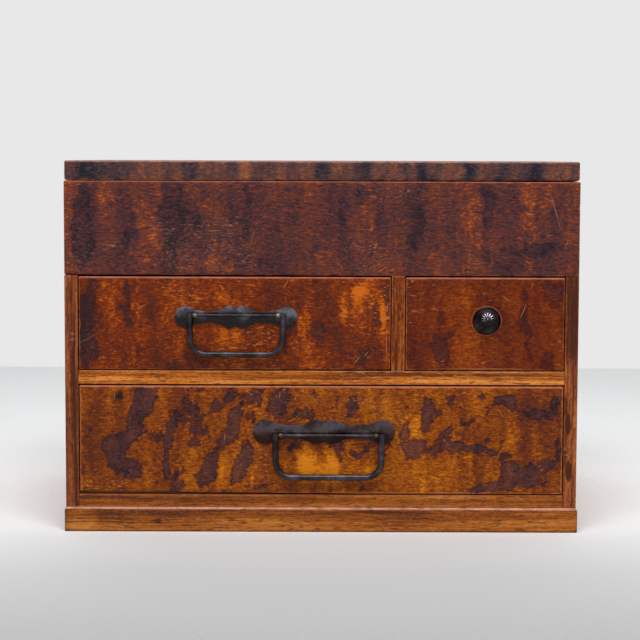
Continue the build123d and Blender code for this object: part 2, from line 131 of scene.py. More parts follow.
class Finish:
    def __init__(self, name, roughness=0.45, metallic=0.0, specular=0.35):
        self.material = bpy.data.materials.new(name)
        self.material.use_nodes = True
        self.tree = self.material.node_tree
        self.tree.nodes.clear()
        self.shader = self.node("ShaderNodeBsdfPrincipled")
        self.shade("Roughness", roughness)
        self.shade("Metallic", metallic)
        self.shade("Specular IOR Level", specular)
        self.shade("IOR", 1.45)
        self.output = self.node("ShaderNodeOutputMaterial")
        self.feed(self.output.inputs["Surface"], self.shader.outputs["BSDF"])
        self.place = self.node("ShaderNodeTexCoord").outputs["Object"]

    def node(self, kind, **settings):
        made = self.tree.nodes.new(kind)
        for key, value in settings.items():
            setattr(made, key, value)
        return made

    def feed(self, socket, value):
        if isinstance(value, bpy.types.NodeSocket):
            self.tree.links.new(value, socket)
        else:
            socket.default_value = value

    def feedAll(self, made, values):
        for socket, value in zip(made.inputs, values):
            self.feed(socket, value)
        return made.outputs[0]

    def shade(self, socket, value):
        self.feed(self.shader.inputs[socket], value)

    def math(self, operation, *values, clamp=False):
        return self.feedAll(self.node("ShaderNodeMath", operation=operation, use_clamp=clamp), values)

    def vector(self, operation, *values):
        return self.feedAll(self.node("ShaderNodeVectorMath", operation=operation), values)

    def plus(self, value, more, share, clamp=False):
        # value + share * more
        return self.math("MULTIPLY_ADD", more, share, value, clamp=clamp)

    def swing(self, value, wave, share, clamp=False):
        # adds a noise by how far it is from its middle
        return self.plus(value, self.math("SUBTRACT", wave, 0.5), share, clamp)

    def above(self, value, limit, gain=16.0):
        # 0 up to the limit, then quickly 1
        return self.math("MULTIPLY", self.math("SUBTRACT", value, limit), gain, clamp=True)

    def span(self, value, low, high, outLow=0.0, outHigh=1.0, smooth=True):
        made = self.node("ShaderNodeMapRange", interpolation_type="SMOOTHSTEP" if smooth else "LINEAR")
        return self.feedAll(made, (value, low, high, outLow, outHigh))

    def axes(self, of=None):
        split = self.node("ShaderNodeSeparateXYZ")
        self.feed(split.inputs[0], of or self.place)
        return split.outputs

    def mapped(self, size, middle, of=None, lean=0):
        made = self.node("ShaderNodeMapping", vector_type="TEXTURE")
        self.feed(made.inputs["Vector"], of or self.place)
        made.inputs["Location"].default_value = middle
        made.inputs["Rotation"].default_value = (0, math.radians(lean), 0)
        made.inputs["Scale"].default_value = size
        return made.outputs[0]

    def noise(self, stretch, of=None, detail=3.0, rough=0.5, lean=0, shift=(0, 0, 0), colour=False):
        # stretch is how many features lie in a metre along x, y and z, after the lean
        lengths = [1 / many for many in stretch]
        start = [-offset * length for offset, length in zip(shift, lengths)]
        place = self.mapped(lengths, start, of, lean)
        made = self.node("ShaderNodeTexNoise")
        self.feed(made.inputs["Vector"], place)
        for socket, value in (("Scale", 1.0), ("Detail", detail), ("Roughness", rough)):
            made.inputs[socket].default_value = value
        return made.outputs[1 if colour else 0]

    def warped(self, *steps):
        # the place, pushed about by noise; each step is (features per metre, push in mm)
        place = self.place
        for features, push in steps:
            features = features if isinstance(features, tuple) else (features,) * 3
            push = push if isinstance(push, tuple) else (push,) * 3
            drift = self.noise(features, detail=2.0, colour=True)
            centred = self.vector("SUBTRACT", drift, (0.5, 0.5, 0.5))
            place = self.vector("MULTIPLY_ADD", centred, tuple(2 * part * mm for part in push), place)
        return place

    def ball(self, size, middle, of=None, lean=0):
        # a soft ball, 1 in its middle and 0 at its rim, in mm
        place = self.mapped([part * mm for part in size], [part * mm for part in middle], of, lean)
        made = self.node("ShaderNodeTexGradient", gradient_type="SPHERICAL")
        self.feed(made.inputs["Vector"], place)
        return made.outputs["Fac"]

    def spot(self, of, x, z, wide, tall, lean=0):
        # a ball so deep that it is the same spot through the whole board
        return self.ball((wide, 1000, tall), (x, 0, z), of, lean)

    def ramp(self, value, stops):
        made = self.node("ShaderNodeValToRGB")
        band = made.color_ramp
        while len(band.elements) < len(stops):
            band.elements.new(0.5)
        for element, (place, colour) in zip(band.elements, stops):
            element.position = place
            element.color = tone(*colour)
        self.feed(made.inputs[0], value)
        return made.outputs[0]

    def mix(self, amount, under, over):
        made = self.node("ShaderNodeMix", data_type="RGBA")
        for socket, value in ((0, amount), (6, under), (7, over)):
            self.feed(made.inputs[socket], value)
        return made.outputs[2]

    def stain(self, colour, amount, tint, strength=None):
        if strength is not None:
            amount = self.math("MULTIPLY", amount, strength)
        return self.mix(amount, colour, tone(*tint))

    def edgeDistance(self, low, high):
        # metres from the nearest arris of a board: the second smallest distance to its faces
        away = self.vector("ABSOLUTE", self.vector("SUBTRACT", self.place, tuple((low + high) / 2)))
        x, y, z = self.axes(self.vector("SUBTRACT", tuple((high - low) / 2), away))
        lower = self.math("MINIMUM", x, y)
        upper = self.math("MAXIMUM", x, y)
        return self.math("MAXIMUM", lower, self.math("MINIMUM", upper, z))

    def relief(self, height, depth):
        made = self.node("ShaderNodeBump")
        made.inputs["Strength"].default_value = 1.0
        made.inputs["Distance"].default_value = depth * mm
        self.feed(made.inputs["Height"], height)
        self.shade("Normal", made.outputs[0])


# worn arrises and specks, with a dark outline of painted shade at each arris and a painted highlight on the
# upper arris
plainWearAndPaintedEdgeLight = {
    "narrow": 0.5,
    "wide": 1.5,
    "rub": 0.7,
    "rubTone": (176, 104, 62),
    "rim": 0.55,
    "arrisShadeTone": (62, 30, 22),
    "arrisShadeReach": 0.6,
    "paintedTopHighlight": 0.0,
    "topHighlightReach": 1.6,
    "topHighlightTone": (214, 158, 136),
    "speckStretch": (230, 400, 900),
    "specks": 0.12,
    "speckStrength": 0.5,
    "speckTone": (196, 140, 104),
    "crowdShift": 0.0,
    "crowds": (),
    "rings": (),
    "ringTone": (196, 98, 46),
    "cuts": (),
    "cutStrength": 0.6,
    "scratches": ((35, 0.0), (-58, 4.0)),
    "scratchLimit": 0.76,
    "scratchStrength": 0.45,
    "scratchTone": (206, 140, 92),
}


def addWearAndPaintedEdgeLight(f, curled, colour, low, high, wearAndPaintedEdgeLight):
    # worn arrises with a dark outline of painted shade at each arris, a painted highlight along the upper edge,
    # flecks, long scratches, ring marks and single cuts
    wearAndPaintedEdgeLight = {**plainWearAndPaintedEdgeLight, **wearAndPaintedEdgeLight}
    edge = f.edgeDistance(low, high)
    ragged = f.noise((130, 130, 130), rough=0.65)
    reach = f.span(ragged, 0.32, 0.72, wearAndPaintedEdgeLight["narrow"] * mm, wearAndPaintedEdgeLight["wide"] * mm)
    rubbed = f.math("SUBTRACT", 1.0, f.math("DIVIDE", edge, reach), clamp=True)
    colour = f.stain(colour, f.span(rubbed, 0.0, 0.45, 0.0, wearAndPaintedEdgeLight["rub"]), wearAndPaintedEdgeLight["rubTone"])
    # a dark outline right at each arris: painted shade of the rounded arris
    rim = f.span(edge, 0.2 * wearAndPaintedEdgeLight["arrisShadeReach"] * mm, wearAndPaintedEdgeLight["arrisShadeReach"] * mm, wearAndPaintedEdgeLight["rim"], 0.0)
    colour = f.stain(colour, rim, wearAndPaintedEdgeLight["arrisShadeTone"])
    # a pale line along the upper arris: a painted highlight of the lamp above
    if wearAndPaintedEdgeLight["paintedTopHighlight"]:
        reach = wearAndPaintedEdgeLight["topHighlightReach"] * mm
        upper = f.span(f.axes()[2], high.z - reach, high.z - 0.4 * reach)
        upper = f.math("MULTIPLY", upper, f.span(ragged, 0.3, 0.6, 0.35, wearAndPaintedEdgeLight["paintedTopHighlight"]))
        colour = f.stain(colour, upper, wearAndPaintedEdgeLight["topHighlightTone"])
    specks = f.noise(wearAndPaintedEdgeLight["speckStretch"], of=curled, detail=2.0, rough=0.6)
    crowd = f.noise((22, 22, 30), detail=2.0, shift=(3.1, 0, wearAndPaintedEdgeLight["crowdShift"]))
    for x, z, wide, tall, weight in wearAndPaintedEdgeLight["crowds"]:
        crowd = f.plus(crowd, f.spot(f.place, x, z, wide, tall), weight)
    marks = f.above(specks, f.span(crowd, 0.4, 0.75, 0.74, 0.74 - wearAndPaintedEdgeLight["specks"]))
    colour = f.stain(colour, marks, wearAndPaintedEdgeLight["speckTone"], wearAndPaintedEdgeLight["speckStrength"])
    for lean, shift in wearAndPaintedEdgeLight["scratches"]:
        lines = f.noise((650, 16, 20), lean=lean, shift=(shift, 0, 0), detail=1.0)
        line = f.above(lines, wearAndPaintedEdgeLight["scratchLimit"])
        marks = f.math("MAXIMUM", marks, line)
        colour = f.stain(colour, line, wearAndPaintedEdgeLight["scratchTone"], wearAndPaintedEdgeLight["scratchStrength"])
    for x, z, radius, strength in wearAndPaintedEdgeLight["rings"]:
        away = f.spot(f.warped((120, 0.25)), x, z, 2 * radius, 2 * radius)
        ring = f.math("MULTIPLY", f.span(away, 0.466, 0.484), f.span(away, 0.49, 0.515, strength, 0.0))
        colour = f.stain(colour, ring, wearAndPaintedEdgeLight["ringTone"])
    for x, z, length, lean in wearAndPaintedEdgeLight["cuts"]:
        line = f.spot(f.warped((90, 0.4)), x, z, 0.4, 0.6 * length, lean)
        line = f.span(line, 0.1, 0.7, 0.0, wearAndPaintedEdgeLight["cutStrength"])
        marks = f.math("MAXIMUM", marks, line)
        colour = f.stain(colour, line, wearAndPaintedEdgeLight["scratchTone"])
    return colour, marks


figureTones = ((0.0, (58, 34, 38)), (0.3, (86, 48, 44)), (0.6, (112, 62, 44)), (1.0, (150, 90, 54)))
burr = {
    "toneSpan": 0.78,
    "patchReach": 1.35,
    "patchWeight": 2.6,
    "fibres": (80, 300, 760),
    "mottle": (420, 420, 560),
    "ridges": (240, 300, 1250),
    "rings": (24, 24, 30),
    "ringCount": 190.0,
}


def widened(stops):
    # a board's tones drawn together, with a deeper one below and a paler one above
    share = burr["toneSpan"]
    deeper = tuple(0.84 * channel for channel in stops[0][1])
    paler = tuple(min(255, 1.1 * channel + 8) for channel in stops[-1][1])
    inner = [(share * place + (1 - share) / 2, colour) for place, colour in stops]
    return [(0.0, deeper)] + inner + [(1.0, paler)]


def figuredWood(name, board, low, high):
    # lacquered burr: cloudy bands, a ragged web of dark figure, curling fibres and wear
    board = {**plainBoard, **board}
    f = Finish(name, specular=board["specular"])
    shift = board["shift"]
    place = f.warped((58, board["drift"]), (180, 2.0), ((70, 70, 520), (board["ragged"], 0, 0.3)))
    curled = f.warped((42, board["curl"]), (170, 1.2))
    clouds = f.noise(board["bands"], of=place, detail=4.0, rough=0.6, shift=shift)
    web = f.noise(board["web"], of=place, detail=4.0, rough=0.62, lean=board["webLean"], shift=shift)
    fibres = f.noise(burr["fibres"], of=curled, detail=2.0, rough=0.6)
    mottle = f.noise(burr["mottle"], of=curled, detail=2.0, rough=0.7)
    ridges = f.noise(burr["ridges"], of=curled, detail=1.0, shift=(2, 0, 4))
    lines = f.math("SUBTRACT", fibres, 0.5)
    dark = f.swing(f.math("MULTIPLY", lines, 0.22), web, board["webShare"])
    light = f.swing(f.math("MULTIPLY", lines, 0.15), clouds, 1.2)
    shades = [(f.spot(place, *shade[:4]), shade[4]) for shade in board["shades"]]
    for spot, amount in shades:
        if amount > 0:
            dark = f.plus(dark, spot, -3.0 * amount)
    for x, z, wide, tall, lean, weight in board["patches"]:
        spot = f.spot(place, x, z, burr["patchReach"] * wide, burr["patchReach"] * tall, lean)
        weight *= burr["patchWeight"]
        if weight > 0:
            light = f.plus(light, spot, weight)
        dark = f.plus(dark, spot, -weight / 2 if weight > 0 else -weight)
    rimFrom, rimTo = board["darkRim"]
    inside = f.span(dark, rimTo, rimTo + 0.6, 0.0, 0.34 * board["darkDepth"])
    figure = f.span(dark, rimFrom + 0.1, rimTo + 0.3, 0.0, board["figureShare"])
    dark = f.math("ADD", f.span(dark, rimFrom, rimTo, 0.0, -board["darkDepth"]), inside)
    light = f.span(light, 0.1, 0.95, 0.0, board["lightLift"])
    value = f.span(clouds, 0.5 - board["contrast"], 0.5 + board["contrast"], smooth=False)
    value = f.plus(board["level"] - board["cloudShare"] / 2, value, board["cloudShare"])
    value = f.math("ADD", value, f.math("ADD", dark, light))
    for spot, amount in shades:
        value = f.plus(value, spot, amount)
    rings = f.noise(burr["rings"], of=f.warped((120, 1.6), (400, 0.5)), detail=2.0, shift=shift)
    swirl = f.math("SINE", f.math("MULTIPLY", rings, burr["ringCount"]))
    value = f.plus(value, swirl, board["swirlShare"])
    value = f.swing(value, f.noise(board["ripples"], of=place, detail=1.0), board["rippleShare"])
    value = f.plus(value, lines, board["grainShare"])
    value = f.swing(value, ridges, board["ridgeShare"])
    value = f.swing(value, mottle, board["mottleShare"])
    value = f.plus((1 - burr["toneSpan"]) / 2, value, burr["toneSpan"], clamp=True)
    colour = f.mix(figure, f.ramp(value, widened(board["tones"])), f.ramp(value, widened(figureTones)))
    colour, marks = addWearAndPaintedEdgeLight(f, curled, colour, low, high, board["wearAndPaintedEdgeLight"])
    f.shade("Base Color", colour)
    rough = f.span(mottle, 0.3, 0.7, board["gloss"] - 0.07, board["gloss"] + 0.1)
    f.shade("Roughness", f.plus(rough, marks, 0.12))
    height = f.plus(f.plus(fibres, mottle, 0.5), swirl, 0.06)
    f.relief(f.plus(height, marks, -0.8), 0.4)
    return f.material


plainWood = {
    "specular": 0.22,
    "gloss": 0.46,
    "streakShare": 1.6,
    "fibreShare": 1.3,
    "lineStrength": 0.7,
    "poreStrength": 0.75,
    "knots": (),
}


def straightWood(name, wood, along, low, high):
    # straight grain along x, y or z (0, 1, 2) with dark streaks, thin lines and pores
    wood = {**plainWood, **wood}
    f = Finish(name, specular=wood["specular"])
    place = f.warped((9, 2.0), (45, 0.7))

    def grain(length, across, **more):
        return f.noise([length if axis == along else across for axis in range(3)], of=place, **more)

    share = wood["streakShare"]
    if "calmFrom" in wood:  # bold figure on the front edge only
        front = wood["calmFrom"] * mm
        share = f.span(f.axes()[1], front, front + 7 * mm, share, 0.9)
    fibres = grain(12, 700, rough=0.65)
    value = f.swing(0.52, grain(3.5, 150, detail=2.0, rough=0.55, shift=wood["shift"]), share)
    value = f.swing(value, grain(10, 40, detail=2.0, shift=wood["shift"]), 0.7)
    value = f.swing(value, fibres, wood["fibreShare"])
    value = f.swing(value, grain(420, 900, detail=2.0, rough=0.7, shift=(4, 1, 6)), 0.9, clamp=True)
    for x, y, z, wide, deep, tall, weight in wood["knots"]:
        spot = f.ball((wide, deep, tall), (x, y, z), place)
        value = f.math("ADD", value, f.span(spot, 0.0, 0.5, 0.0, weight), clamp=True)
    colour = f.ramp(value, wood["tones"])
    line = f.above(grain(2.5, 480, detail=2.0, shift=(7, 3, 1)), 0.6, 14.0)
    colour = f.stain(colour, line, wood["poreTone"], wood["lineStrength"])
    pore = f.above(grain(130, 1200, detail=1.0, rough=0.4, shift=(2, 9, 5)), 0.58, 9.0)
    colour = f.stain(colour, pore, wood["poreTone"], wood["poreStrength"])
    colour, marks = addWearAndPaintedEdgeLight(f, f.place, colour, low, high, wood["wearAndPaintedEdgeLight"])
    f.shade("Base Color", colour)
    f.shade("Roughness", f.span(fibres, 0.3, 0.7, wood["gloss"] - 0.06, wood["gloss"] + 0.1))
    f.relief(f.plus(f.plus(fibres, marks, -0.6), f.math("MAXIMUM", pore, line), -0.9), 0.3)
    return f.material


def agedMetal(name, metal):
    # patina in clouds and fine specks; on the plates and the knob's petals, painted shade lower down and
    # painted light higher up
    f = Finish(name, metallic=metal["metallic"], specular=0.5)
    clouds = f.noise((90, 90, 90), detail=4.0, rough=0.6)
    specks = f.noise((900, 900, 900), rough=0.65)
    value = f.swing(f.span(clouds, 0.3, 0.7), specks, 0.8)
    # painted shade below the given height and painted light above it: the bar's shadow and the sky's reflection
    # on the plates, the lamp's highlight on the petals
    if "paintedShadeBelowLightAbove" in metal:
        height, below, above = metal["paintedShadeBelowLightAbove"]
        shade = f.span(f.axes()[2], (height - 5) * mm, (height + 4) * mm, below, above)
        value = f.math("ADD", value, shade)
    colour = f.ramp(value, metal["tones"])
    for x, z, size, strength in metal.get("rust", ()):
        near = f.span(f.spot(f.warped((160, 2.0)), x, z, size, size), 0.0, 0.7, 0.0, strength)
        colour = f.stain(colour, f.math("MULTIPLY", near, f.span(specks, 0.35, 0.6)), metal["rustTone"])
    f.shade("Base Color", colour)
    f.shade("Roughness", f.span(clouds, 0.3, 0.7, metal["gloss"] - 0.08, metal["gloss"] + 0.1))
    f.relief(f.plus(f.noise((240, 240, 240), detail=1.0), specks, 0.35), metal["depth"])
    return f.material


# boards with unevenly worn arrises

boardCut = {
    "frontLap": 4.5,
    "wall": 6.0,
    "bottomLap": 3.5,
    "lidArris": 1.2,
    "frontArris": 0.75,
    "pace": (2.4, 9.0, 2.4),
    "pressReach": 2.6,
    "rub": 0.22,
    "nicks": 1.3,
    "bowDepth": 1.4,
}


def finishMesh(name, work, crease):
    bmesh.ops.remove_doubles(work, verts=work.verts, dist=1e-7)
    bmesh.ops.recalc_face_normals(work, faces=work.faces)
    mesh = bpy.data.meshes.new(name)
    work.to_mesh(mesh)
    work.free()
    mesh.shade_smooth()
    mesh.set_sharp_from_angle(angle=math.radians(crease))
    return placed(name, mesh)


def settle(piece, body, slot, material, *replaced):
    piece.data.materials.append(material)
    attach(piece, body)
    if replaced:
        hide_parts(*replaced)


def bevel(work, edges, offset, segments):
    bmesh.ops.bevel(work, geom=edges, offset=offset, offset_type="OFFSET", segments=segments, profile=0.5,
                    affect="EDGES", material=-1, clamp_overlap=True)


def slicedBlock(low, high, arris):
    work = bmesh.new()
    size = high - low
    bmesh.ops.create_cube(work, size=1)
    bmesh.ops.scale(work, vec=size, verts=work.verts)
    bmesh.ops.translate(work, vec=(low + high) / 2, verts=work.verts)
    for axis, pace in enumerate(boardCut["pace"]):
        cuts = max(1, round(size[axis] / (pace * mm)) - 1)
        lines = [e for e in work.edges if abs((e.verts[1].co - e.verts[0].co)[axis]) > 0.5 * size[axis]]
        bmesh.ops.subdivide_edges(work, edges=lines, cuts=cuts, use_grid_fill=True)
    corners = [e for e in work.edges if len(e.link_faces) == 2 and e.calc_face_angle() > 1]
    bevel(work, corners, arris, 3)
    return work


def addTenon(work, face, inner, outer):
    # the thick middle of a drawer's front, between its side walls
    for axis, where in ((0, inner.x), (0, outer.x), (2, inner.z), (2, outer.z)):
        normal = Vector([float(i == axis) for i in range(3)])
        everything = work.verts[:] + work.edges[:] + work.faces[:]
        bmesh.ops.bisect_plane(work, geom=everything, plane_co=normal * where, plane_no=normal)
    back = []
    for one in work.faces:
        middle = one.calc_center_median()
        if one.normal.y > 0.99 and inner.x < middle.x < outer.x and inner.z < middle.z < outer.z:
            back.append(one)
    raised = bmesh.ops.extrude_face_region(work, geom=back)["geom"]
    moved = [v for v in raised if isinstance(v, bmesh.types.BMVert)]
    bmesh.ops.translate(work, vec=(0, outer.y - face, 0), verts=moved)
    bmesh.ops.delete(work, geom=back, context="FACES_ONLY")


def wearArrises(work, low, high, seed):
    # vertices near an arris are pressed in, gently all along and deeper at a few nicks
    cut, reach = boardCut, boardCut["pressReach"] * mm
    size, middle = high - low, (low + high) / 2
    for vert in work.verts:
        gaps = [size[axis] / 2 - abs(vert.co[axis] - middle[axis]) for axis in range(3)]
        near = sorted(range(3), key=lambda axis: gaps[axis])[:2]
        distance = gaps[near[1]]
        if vert.co.y > high.y + 0.1 * mm or distance > reach:
            continue
        spot = vert.co / mm + Vector((seed, 0, 0))
        rub = 0.5 + 0.5 * noise.noise(spot * 0.045)
        nick = max(0.0, noise.noise(spot * 0.33) - 0.34) * cut["nicks"]
        press = (cut["rub"] * rub + nick) * mm * (1 - distance / reach) ** 2
        for axis in near:
            vert.co[axis] -= math.copysign(press, vert.co[axis] - middle[axis])


def bowEdge(work, low, high, rise, side):
    # at the front, the lower edge rises towards one end
    size, middle = high - low, (low + high) / 2
    for vert in work.verts:
        near = min(1, (6 * mm - vert.co.y + low.y) / (boardCut["bowDepth"] * mm))
        if vert.co.z < middle.z and near > 0:
            share = max(0.0, (side * (vert.co.x - middle.x) + 0.1 * size.x) / (0.6 * size.x))
            lift = rise * near * mm * min(1, share) ** 0.8
            vert.co.z += lift * (middle.z - vert.co.z) / (size.z / 2)


# the five figured boards: shades are (x, z, wide, tall, amount), patches (x, z, wide, tall, lean, weight),
# crowds (x, z, wide, tall, weight) and cuts (x, z, length, lean), in mm and degrees

plainBoard = {
    "specular": 0.16, "gloss": 0.4, "drift": 4.0, "contrast": 0.17, "ripples": (150, 14, 18),
    "rippleShare": 0.3, "ragged": 1.6, "darkDepth": 0.46, "lightLift": 0.46, "grainShare": 0.45,
    "mottleShare": 1.0, "swirlShare": 0.04, "curl": 3.5, "ridgeShare": 0.7, "web": (60, 12, 34),
    "webLean": 0,
}

lidBoard = {
    "bands": (62, 10, 16), "shift": (1.7, 0, 0), "contrast": 0.16, "cloudShare": 0.75, "level": 0.54,
    "ripples": (190, 14, 14), "rippleShare": 0.25, "darkRim": (0.2, 0.8), "darkDepth": 0.42,
    "lightLift": 0.3, "grainShare": 0.4, "swirlShare": 0.03, "web": (70, 12, 30), "webShare": 1.0,
    "specular": 0.17, "figureShare": 0.35, "ridgeShare": 0.8, "gloss": 0.42,
    "shades": (
        (-154, 243, 24, 22, -0.36), (27, 243, 9, 16, -0.34), (66, 243, 7, 16, -0.34),
        (98, 243, 7, 16, -0.2), (142, 243, 16, 16, -0.2),
    ),
    "tones": (
        (0.0, (38, 34, 46)), (0.25, (62, 46, 52)), (0.5, (88, 56, 52)), (0.75, (112, 66, 50)),
        (1.0, (146, 84, 52)),
    ),
    "patches": (
        (-160, 243, 26, 16, 0, -0.32), (-102, 243, 9, 14, 0, -0.25), (-60, 243, 8, 14, 8, -0.2),
        (27, 243, 9, 14, 0, -0.34), (66, 243, 6, 14, 0, -0.36), (98, 243, 6, 14, 0, -0.25),
        (140, 243, 14, 14, 0, -0.28), (-125, 243, 8, 14, 0, 0.18), (-82, 243, 7, 14, 0, 0.16),
        (-30, 243, 10, 14, 0, 0.14), (6, 243, 9, 14, 6, 0.22), (47, 243, 8, 14, -8, 0.2),
        (118, 243, 7, 14, 0, 0.16),
    ),
    "wearAndPaintedEdgeLight": {
        "narrow": 0.6, "rub": 0.5, "rubTone": (182, 112, 78), "arrisShadeTone": (52, 36, 38), "paintedTopHighlight": 0.4,
        "topHighlightReach": 0.9, "topHighlightTone": (168, 140, 130), "speckTone": (168, 140, 134), "specks": 0.08,
        "crowdShift": 2.0,
    },
}

panelBoard = {
    "bands": (52, 8, 13), "shift": (4.3, 0, 0), "drift": 4.5, "cloudShare": 0.5, "level": 0.56,
    "ripples": (170, 14, 26), "darkRim": (0.26, 0.6), "darkDepth": 0.44, "swirlShare": 0.06, "curl": 6.0,
    "webShare": 2.1, "figureShare": 0.5, "ridgeShare": 1.1, "gloss": 0.42,
    "shades": ((-110, 206, 70, 60, -0.08), (20, 226, 90, 24, -0.06), (150, 184, 40, 14, -0.12)),
    "tones": (
        (0.0, (46, 29, 36)), (0.3, (68, 38, 42)), (0.52, (89, 47, 42)), (0.76, (114, 52, 34)),
        (1.0, (162, 78, 26)),
    ),
    "patches": (
        (-161, 205, 10, 30, 4, -0.3), (-128, 206, 7, 34, 2, -0.22), (-103, 208, 13, 34, 0, -0.36),
        (-83, 212, 5, 26, 0, -0.2), (-70, 200, 5, 32, 0, -0.2), (-48, 214, 5, 26, 0, -0.22),
        (28, 228, 6, 14, 6, -0.32), (65, 214, 6, 28, 0, -0.2), (110, 212, 8, 32, 2, -0.28),
        (140, 219, 18, 4, -6, -0.24), (150, 192, 26, 6, 0, -0.28), (126, 186, 22, 5, 0, -0.16),
        (-144, 226, 10, 7, 0, 0.2), (-138, 194, 6, 12, 0, 0.2), (-114, 199, 4, 6, 0, 0.2),
        (-77, 183, 5, 8, 0, 0.42), (-62, 180, 5, 5, 0, 0.34), (-79, 218, 5, 8, 0, 0.24),
        (58, 220, 6, 14, 4, 0.24), (72, 190, 10, 8, 30, 0.2), (98, 206, 5, 18, 0, 0.16),
        (132, 204, 12, 10, 0, 0.18), (12, 180, 4, 8, 0, 0.2),
    ),
    "wearAndPaintedEdgeLight": {
        "narrow": 0.4, "wide": 1.2, "paintedTopHighlight": 0.55, "topHighlightReach": 0.9, "topHighlightTone": (172, 102, 74),
        "rubTone": (158, 88, 60), "arrisShadeTone": (58, 34, 36), "speckTone": (172, 128, 112), "specks": 0.17,
        "speckStrength": 0.42, "speckStretch": (300, 600, 1300), "crowdShift": 5.4,
        "scratches": ((14, 0.0),), "cutStrength": 0.45,
        "crowds": (
            (-86, 188, 46, 26, 0.5), (-60, 206, 24, 26, 0.3), (40, 186, 60, 20, 0.12),
            (-150, 195, 20, 30, 0.1),
        ),
        "cuts": (
            (156, 217, 31, -16), (-72, 203.5, 13, 88), (152, 201, 7, 80), (164, 196, 6, 30),
            (-143, 228, 7, -40),
        ),
    },
}

upperLeftBoard = {
    "bands": (58, 10, 22), "shift": (9.1, 0, 2.0), "cloudShare": 0.55, "level": 0.6, "ragged": 1.8,
    "darkRim": (0.3, 0.52), "mottleShare": 1.1, "swirlShare": 0.05, "curl": 4.0, "webShare": 2.3,
    "figureShare": 0.6, "ridgeShare": 0.9,
    "shades": (
        (-162, 140, 22, 44, -0.25), (-66, 128, 50, 18, 0.12), (-110, 118, 30, 14, -0.08),
        (24, 130, 30, 30, -0.06),
    ),
    "tones": (
        (0.0, (60, 28, 28)), (0.25, (78, 32, 22)), (0.5, (102, 38, 10)), (0.74, (130, 50, 4)),
        (1.0, (178, 84, 4)),
    ),
    "patches": (
        (-156, 142, 9, 34, 4, -0.36), (-124, 160, 7, 12, 0, -0.26), (-128, 146, 4, 22, -8, -0.2),
        (-104, 124, 12, 10, 30, -0.24), (-146, 122, 14, 8, 10, -0.22), (-100, 112, 10, 4, 0, -0.24),
        (-36, 162, 8, 10, 0, -0.2), (-26, 130, 8, 8, 0, -0.14), (0, 138, 10, 12, 14, -0.26),
        (24, 118, 10, 8, 0, -0.24), (34, 142, 5, 18, 0, -0.26), (14, 160, 4, 12, 0, -0.22),
        (-6, 158, 3, 16, 0, -0.2), (-110, 162, 9, 10, 0, 0.14), (-70, 158, 22, 7, 0, 0.18),
        (-56, 132, 22, 10, 0, 0.24), (-44, 166, 5, 7, 0, 0.26), (4, 166, 4, 14, 0, 0.3),
        (14, 148, 3, 14, 0, 0.3), (25, 162, 6, 10, 0, 0.3), (33, 168, 5, 6, 0, 0.2),
        (10, 124, 8, 6, 0, 0.2), (41, 150, 2.5, 24, 0, 0.34), (-78, 116, 14, 6, 10, 0.16),
    ),
    "wearAndPaintedEdgeLight": {
        "paintedTopHighlight": 0.5, "topHighlightTone": (188, 112, 88), "rubTone": (176, 98, 58), "specks": 0.17,
        "speckTone": (216, 128, 66), "crowdShift": 1.1, "scratches": ((62, 1.3),),
        "crowds": (
            (-70, 118, 50, 14, 0.3), (-40, 140, 30, 16, 0.25), (-90, 160, 40, 14, 0.15),
            (20, 120, 30, 14, 0.2),
        ),
        "cuts": (
            (-141, 146, 8, 58), (-121, 152, 9, 55), (24, 117, 9, 44), (30, 121, 6, 40), (-66, 121, 6, -50),
            (43.5, 128, 26, 0), (44, 152, 9, 2), (-24, 168, 8, 30),
        ),
    },
}

upperRightBoard = {
    "bands": (46, 10, 14), "shift": (14.2, 0, 5.0), "drift": 3.4, "contrast": 0.18, "cloudShare": 0.5,
    "level": 0.59, "ripples": (120, 14, 18), "rippleShare": 0.25, "ragged": 1.4, "darkRim": (0.28, 0.5),
    "darkDepth": 0.4, "lightLift": 0.3, "grainShare": 0.4, "mottleShare": 0.9, "webShare": 1.8,
    "figureShare": 0.4,
    "shades": (
        (66, 122, 16, 30, -0.14), (158, 150, 26, 40, -0.22), (112, 128, 30, 20, 0.1),
        (78, 158, 24, 14, 0.05),
    ),
    "tones": (
        (0.0, (56, 20, 20)), (0.25, (78, 26, 14)), (0.5, (102, 37, 6)), (0.75, (128, 52, 3)),
        (1.0, (162, 78, 8)),
    ),
    "patches": (
        (81, 140, 7, 34, 0, -0.28), (60, 128, 5, 22, 0, -0.2), (138, 142, 6, 34, -4, -0.22),
        (156, 158, 10, 12, 0, -0.3), (154, 118, 8, 8, 0, -0.16), (92, 136, 8, 6, -20, -0.16),
        (72, 158, 10, 6, 0, -0.12), (66, 150, 5, 4, 0, 0.26), (76, 152, 3, 2, 0, 0.3),
        (112, 130, 12, 7, 0, 0.22), (100, 158, 14, 7, 0, 0.14), (126, 120, 8, 8, 0, 0.16),
        (148, 142, 4, 18, 0, 0.1), (73, 114, 10, 4, 0, 0.12),
    ),
    "wearAndPaintedEdgeLight": {
        "paintedTopHighlight": 0.55, "topHighlightTone": (190, 120, 100), "rubTone": (166, 92, 60), "specks": 0.14,
        "speckTone": (216, 128, 74), "crowdShift": 7.7, "rings": ((110.7, 143.5, 9.9, 0.75),),
        "scratches": ((24, 2.2),),
        "crowds": (
            (74, 116, 24, 10, 0.35), (112, 116, 30, 8, 0.2), (150, 134, 16, 20, 0.12),
            (110, 158, 20, 8, 0.2),
        ),
        "cuts": (
            (62.5, 150, 6, 88), (75, 152, 2.4, 50), (108.5, 162, 4, -34), (135, 150, 12, 22),
            (124, 158, 8, -50), (110, 111.2, 70, 90), (141, 168, 4, 10), (160, 130, 3, 70),
        ),
    },
}

